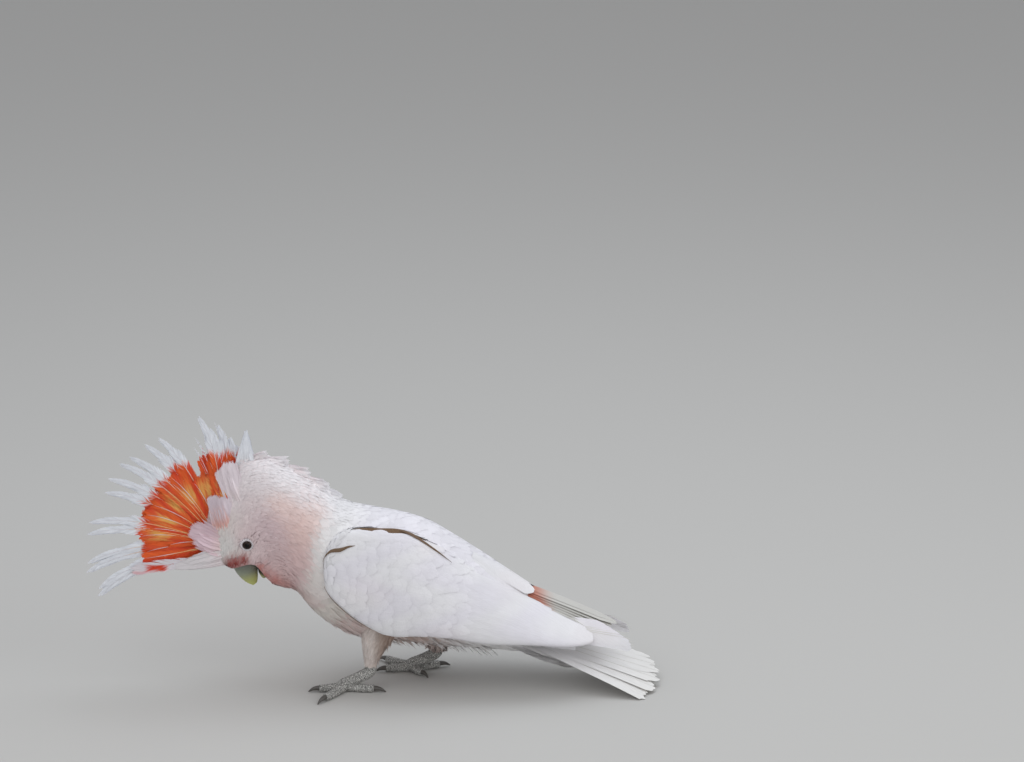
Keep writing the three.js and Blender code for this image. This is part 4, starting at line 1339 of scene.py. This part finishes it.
def make_primaries(name, side):
    """The long outer feathers, stacked face to face beyond the wing's end, the roof feathers that close the gap
    between the two wings, salmon where they leave the back, and the broad inner feathers over them."""
    share = np.linspace(0, 1, 7)
    flip = np.array([1, side, 1])
    tip = through(PRIMARY_TIPS[::-1], share) * flip
    root = PRIMARY_ROOT * flip + points(0 * share, -side * 1.6 * (1 - share), 4 * (1 - share) - 3)
    bend = PRIMARY_BEND * flip + points(0 * share, -side * 1.6 * (1 - share), 5 * (1 - share) - 5)
    along = unit(tip - root)
    across = unit(np.cross([[0.0, side * 0.85, 0.52]], along))
    grid, s, c = plumes(root, bend, tip, across, 14 + 0 * share, rows=16, columns=9, ragged=0.03,
                        round_tip=0.12 if side < 0 else 0.34, slant=0.55 * side, taper=0.3, camber=0.1)
    parts = [plume_part(grid, s, c, wing_colour(grid, s), 0.05 + 0.1 * share[:, None, None] + 0.1 * s)]
    grid, s, c = shafts(root, bend, tip, across, 0.8 + 0 * share)
    parts.append(plume_part(grid, s, c, CREAM * 0.92 * np.ones_like(grid), 0.95 + 0.02 * s))
    k = np.arange(5)
    root = points(110 + 4 * k, side * (2.0 + 2.4 * k), 93.5 - 2.8 * k)
    bend = points(166 + 1 * k, side * (2.2 + 1.8 * k), 74 - 0.6 * k)
    tip = points(216 - 4.0 * k, side * (2.5 + 2.6 * k), 50 - 0.3 * k)
    across = unit(points(0.0 * k, 1.0, -side * (0.05 + 0.06 * k)))
    grid, s, c = plumes(root, bend, tip, across, 17 + 0 * k, rows=18, columns=9, round_tip=0.14, ragged=0.02,
                        taper=0.2, camber=0.04)
    # painted shade: the roof feathers' cream darkened to 0.74 between the wings; the salmon at their roots is their
    # own colour
    tint = mix(np.array([0.56, 0.19, 0.12]) * np.ones_like(grid), CREAM * 0.74, ramp(s, 0.33, 0.50))
    parts.append(plume_part(grid, s, c, tint, 0.4 + 0.1 * k[:, None, None] + 0.08 * s))
    # the broad inner feathers that end where the salmon begins
    k = np.arange(3)[::-1]
    lower = 3.2 * k + (2.6 if side > 0 else 0)
    root = points(98 + 0 * k, side * (12 + 3.2 * k), 114.2 - lower)
    bend = points(124 + 0 * k, side * (12 + 3.2 * k), 97.5 - lower)
    tip = points(148 - 5 * k, side * (8.5 + 3.2 * k), 80.8 - 0.8 * lower)
    across = unit(np.array([[0.0, 1.0, -0.6 * side]]))
    grid, s, c = plumes(root, bend, tip, across, 14.5 + 0 * k, rows=18, columns=11, round_tip=0.12, ragged=0.01,
                        taper=0.05, camber=0.24, root_width=0.5)
    parts.append(plume_part(grid, s, c, wing_colour(grid, s), 0.7 + 0.05 * k[:, None, None] + 0.04 * s))
    make_feathers(f"primaries_{name}", parts, QUILL, [])


# ---- tail


def tail_curve():
    """Root, bend and tip of the twelve tail feathers, the middle pair on top of the others."""
    i = np.arange(TAIL_FEATHERS)
    s = 2 * i / (TAIL_FEATHERS - 1) - 1
    under = TAIL_STEP * np.abs(s)
    odd = i % 2
    root = points(TAIL_ROOT[0], TAIL_ROOT[1] * s, TAIL_ROOT[2] - under)
    bend = points(TAIL_BEND[0], TAIL_BEND[1] * s, TAIL_BEND[2] + 1.4 * s - 0.7 * under)
    tip = points(TAIL_TIP[0] - TAIL_ROUNDNESS * s**2 - 3 * odd, TAIL_TIP[1] * s,
                 TAIL_TIP[2] + TAIL_ROLL * s - 1.6 * s**2 - 0.3 * under)
    return root, bend, tip, s


def make_tail():
    """Twelve broad worn feathers with pale quills, and the soft coverts over and under their base."""
    root, bend, tip, s_all = tail_curve()
    across = unit(points(0.0, 1.0, 0.10 - 0.10 * s_all))
    grid, s, c = plumes(root, bend, tip, across, TAIL_WIDTH + 0 * s_all, rows=22, columns=11, round_tip=0.09,
                        ragged=0.025, camber=0.03, taper=-0.05, slant=s_all * 0.5, widest=0.6)
    grid[..., 2] = np.maximum(grid[..., 2], 0.3)
    worn = mix(WHITE * np.ones_like(grid), CREAM, 0.25 + 0.4 * ramp(s, 0.5, 1.0))
    parts = [plume_part(grid, s, c, worn, 0.02 + 0.9 * (s_all[:, None, None] + 1) / 2.2 + 0.05 * s)]
    grid, s, c = shafts(root, bend, tip, across, 0.9 + 0 * s_all)
    grid[..., 2] = np.maximum(grid[..., 2], 0.35)
    parts.append(plume_part(grid, s, c, CREAM * 0.86 * np.ones_like(grid), 0.97 + 0.02 * s))
    # coverts over and under the base
    n = 46
    across_share = rng.uniform(-1, 1, n)
    start = rng.uniform(0, 1, n)
    for over in (1, -1):
        height = 3.2 if over > 0 else -3.0
        root = points(104 + 34 * start, across_share * 12, (52 - 15 * start) + height * (1.4 - start * 0.4))
        tip = root + points(52 + 6 * rng.uniform(-1, 1, n), across_share * 9,
                            -19.5 - 3 * start - (0.5 * height))
        bend = (root + tip) / 2 + [0, 0, -1.5 + 0.4 * height]
        across = unit(points(0.0, 1.0 * over, -0.35 * across_share * over))
        grid, s, c = plumes(root, bend, tip, across, rng.uniform(11, 14, n), rows=9, columns=7, round_tip=0.25,
                            ragged=0.12, camber=0.15, taper=0.1)
        tint = varied(mix(WHITE, CREAM, 0.3), n, 0.03) * np.ones_like(grid)
        parts.append(plume_part(grid, s, c, tint, 0.3 + 0.2 * over + 0.05 * s))
    make_feathers("tail_feathers", parts, QUILL, ["tail"])


# ---- bill


def bill_half(rows):
    """A bill half: u runs from its base to its tip and v round it, from the ridge (0) over its right side to the
    cutting edge (pi). A section is an ellipse across the line from ridge to edge."""

    def surface(u, v):
        ridge_x, ridge_z, edge_x, edge_z, half_width = np.moveaxis(through(rows, u), -1, 0)
        cos = np.cos(v)
        return points(between(ridge_x, edge_x, cos), half_width * np.sin(v), between(ridge_z, edge_z, cos))

    return surface


def make_bill_half(half, rows, colours):
    """A closed, smooth bill half whose colour runs from base over middle to tip."""
    base, middle, tip = np.array(colours)
    u, v = once_round(40, 40)
    grid = closed_ends(bill_half(rows)(u, v))
    along = capped(u)
    tint = mix(mix(base, middle, ramp(along, 0.15, 0.5)), tip, ramp(along, 0.45, 0.85))
    # darker towards the cutting edges and paler along the ridge
    tint = tint * (0.86 + 0.14 * np.cos(capped(v)))[..., None]
    make_tube(f"bill_{half}_horn", grid, HORN, [f"bill_{half}"], tint)


def make_bill():
    """Bone-grey horn above, greener to its tip, over a lower half darkened with painted shade."""
    # painted shadow: the upper half darkest at its base, under the face
    make_bill_half("upper", BILL_UPPER, [(0.13, 0.15, 0.16), (0.30, 0.33, 0.25), (0.56, 0.58, 0.18)])
    # painted shade: the lower half nearly black but for its tip, the shade inside the mouth
    make_bill_half("lower", BILL_LOWER, [(0.02, 0.015, 0.012), (0.03, 0.025, 0.015), (0.42, 0.40, 0.15)])


# ---- eyes


def make_eyes():
    """A glossy dark ball in a ring of bare pale skin set with two rows of tiny beads, darker in between."""
    for name, side in SIDES.items():
        centre = np.array([EYE_SURFACE[0], side * (EYE_SURFACE[1] - EYE_DEPTH), EYE_SURFACE[2]])
        u, v = once_round(28, 40, 0, math.pi)
        ball = centre + EYE_RADIUS * points(np.sin(u) * np.cos(v) * side, side * np.cos(u), np.sin(u) * np.sin(v))
        pupil = (u < 0.42)[..., None]
        tint = np.where(pupil, 0.003, 1.0) * np.array([0.020, 0.010, 0.006])
        make_tube(f"eyeball_{name}", ball, EYE_GLOSS, [f"eye_{name}"], tint)
        # lid ring: a half-round band between two radii, beaded
        t, w = once_round(12, 120)
        inner, outer = LID_OPENING, EYE_RING + 0.5
        bead = 0.5 + 0.5 * np.cos(w * 22 + np.where(t > 0.5, math.pi, 0))
        rise = 0.7 * np.sin(np.pi * np.clip(t * 0.9 + 0.12, 0, 1)) + 0.28 * bead * np.sin(2 * np.pi * t) ** 2
        radius = inner + (outer - inner) * t
        stretch = 1 + 0.12 * np.abs(np.cos(w))
        ring = points(radius * np.cos(w) * side * stretch, side * (1.35 + rise - 1.9 * ramp(t, 0.55, 1)),
                      radius * np.sin(w)) + centre + [0, side * 0.9, 0]
        dark = ramp(0.5 - bead, 0, 0.3) * np.abs(np.sin(2 * np.pi * t))
        tint = mix(np.array([0.84, 0.79, 0.81]), np.array([0.10, 0.07, 0.08]), dark * 0.8)
        tint = mix(np.array([0.03, 0.02, 0.02]), tint, ramp(t, 0.05, 0.17))
        tint = mix(tint, BLUSH * 0.9, ramp(t, 0.7, 1.0))
        make_tube(f"lids_{name}", ring[:, ::-1], SKIN, [], tint[:, ::-1], closed=False)


# ---- feet


def leg_plan(side, x, turn):
    """Ball of the foot, heel joint, and each toe's direction, length and claw length."""
    ball = np.array([x, side * STANCE, BALL_HEIGHT])
    heel = np.array([x + HEEL_BACK, side * HEEL_SIDE, HEEL_HEIGHT])
    toes = []
    for angle, length, claw in TOES:
        a = math.radians(turn + angle)
        toes.append((np.array([-math.cos(a), side * math.sin(a), 0]), length, claw))
    return ball, heel, toes


def ray(ball, way, start, length, shape):
    """Rows of centre and radius along a toe or claw that leaves the ball in a direction."""
    base = np.array([ball[0], ball[1], TOE_HEIGHT])
    return [[*(base + way * (start + share * length) + [0, 0, up]), radius] for share, up, radius in shape]


def scaly_limb(rows, rings, columns, bumps=0.0, waves=0):
    """A closed limb through rows, ringed by scutes: its radius swells waves times along it. It stays off the
    floor."""
    u, v = once_round(rings, columns)
    surface = limb(rows)
    over = np.abs(np.sin(np.pi * u * waves)) if waves else 0 * u
    pebbles = np.sin(v * 7 + np.floor(u * waves) * 1.7) * np.sin(u * waves * np.pi) if waves else 0 * u
    grid = closed_ends(lifted(surface, u, v, bumps * (over - 0.6 + 0.3 * pebbles)))
    grid[..., 2] = np.maximum(grid[..., 2], FLOOR_CLEARANCE)
    return grid


def make_feet():
    """Shank and four toes in one scaly mesh for each foot, and a curved claw on each toe."""
    grey = np.array([0.60, 0.59, 0.56])
    for name, (side, x, turn) in LEGS.items():
        ball, heel, toes = leg_plan(side, x, turn)
        shank = [
            [heel[0] - 3, heel[1], heel[2] + 12, 3.4],
            [heel[0] - 3.2, heel[1], heel[2] + 2, 4.3],
            [heel[0] - 6, heel[1], heel[2] - 2.5, 4.8],
            [heel[0] - 15, (heel[1] + ball[1]) / 2, heel[2] - 7, 4.5],
            [*ball, 4.8],
            [ball[0] - 5, ball[1], ball[2] - 2, 3.4],
        ]
        grids = [scaly_limb(shank, 90, 26, SCUTE_HEIGHT, 22)]
        for way, length, _ in toes:
            rows = ray(ball, way, 0, length, TOE_SHAPE)
            grids.append(scaly_limb(rows, 60, 20, SCUTE_HEIGHT, int(length / SCUTE_STEP)))
        vertices, faces, tint = merged([tube_part(grid, grey * np.ones_like(grid)) for grid in grids])
        make_mesh(f"foot_scaly_{name}", vertices, faces, SCALES, [f"foot_{name}"], tint,
                  closed=True)
        for k, (way, length, claw) in enumerate(toes):
            grid = scaly_limb(ray(ball, way, length - 1.5, claw + 2.2, CLAW_SHAPE), 24, 16)
            tint = np.array([0.085, 0.078, 0.07]) * np.ones_like(grid)
            make_tube(f"claw_horn_{name}_{k + 1}", grid, CLAW, [f"claw_{name}_{k + 1}"], tint)


# ---- run

make_skin()
make_coat()
make_crest()
make_lobes()
make_wings()
make_tail()
make_bill()
make_eyes()
make_feet()

# ---- studio


def area_light(name, towards, distance, size, power, colour=(1, 1, 1)):
    """A square soft light seen from the bird in a direction (azimuth from the camera's side, elevation)."""
    azimuth, elevation = (math.radians(angle) for angle in towards)
    direction = Vector((math.sin(azimuth) * math.cos(elevation), -math.cos(azimuth) * math.cos(elevation),
                        math.sin(elevation)))
    data = bpy.data.lights.new(name, "AREA")
    data.size = size
    data.energy = power
    data.color = colour
    light = bpy.data.objects.new(name, data)
    light.location = Vector((0, 0, 0.1)) + direction * distance
    light.rotation_euler = direction.to_track_quat("Z", "Y").to_euler()
    bpy.context.scene.collection.objects.link(light)


def make_studio():
    """A pale floor, four soft lights (high and low on the camera's side, overhead, and at the tail's end) and an
    even surround."""
    floor_mesh = bpy.data.meshes.new("floor")
    half = 6.0
    corners = [(-half, -half, 0), (half, -half, 0), (half, half, 0), (-half, half, 0)]
    floor_mesh.from_pydata(corners, [], [(0, 1, 2, 3)])
    floor = bpy.data.objects.new("floor", floor_mesh)
    bpy.context.scene.collection.objects.link(floor)
    f = Finish("floor_paper", Roughness=0.9, Base_Color=(0.56, 0.55, 0.53), Specular_IOR_Level=0.1)
    floor_mesh.materials.append(f.material)
    world = bpy.data.worlds.new("studio")
    world.use_nodes = True
    background = world.node_tree.nodes["Background"]
    background.inputs["Color"].default_value = (0.48, 0.49, 0.51, 1)
    background.inputs["Strength"].default_value = 1.0
    bpy.context.scene.world = world
    area_light("key", (-28, 50), 1.6, 1.0, 3.4)
    area_light("low", (14, 13), 1.8, 1.3, 3.6)
    area_light("top", (150, 76), 1.6, 1.4, 10, (0.90, 0.95, 1))
    area_light("side", (62, 26), 1.8, 1.2, 5)
    bpy.context.scene.view_settings.view_transform = "Standard"


make_studio()
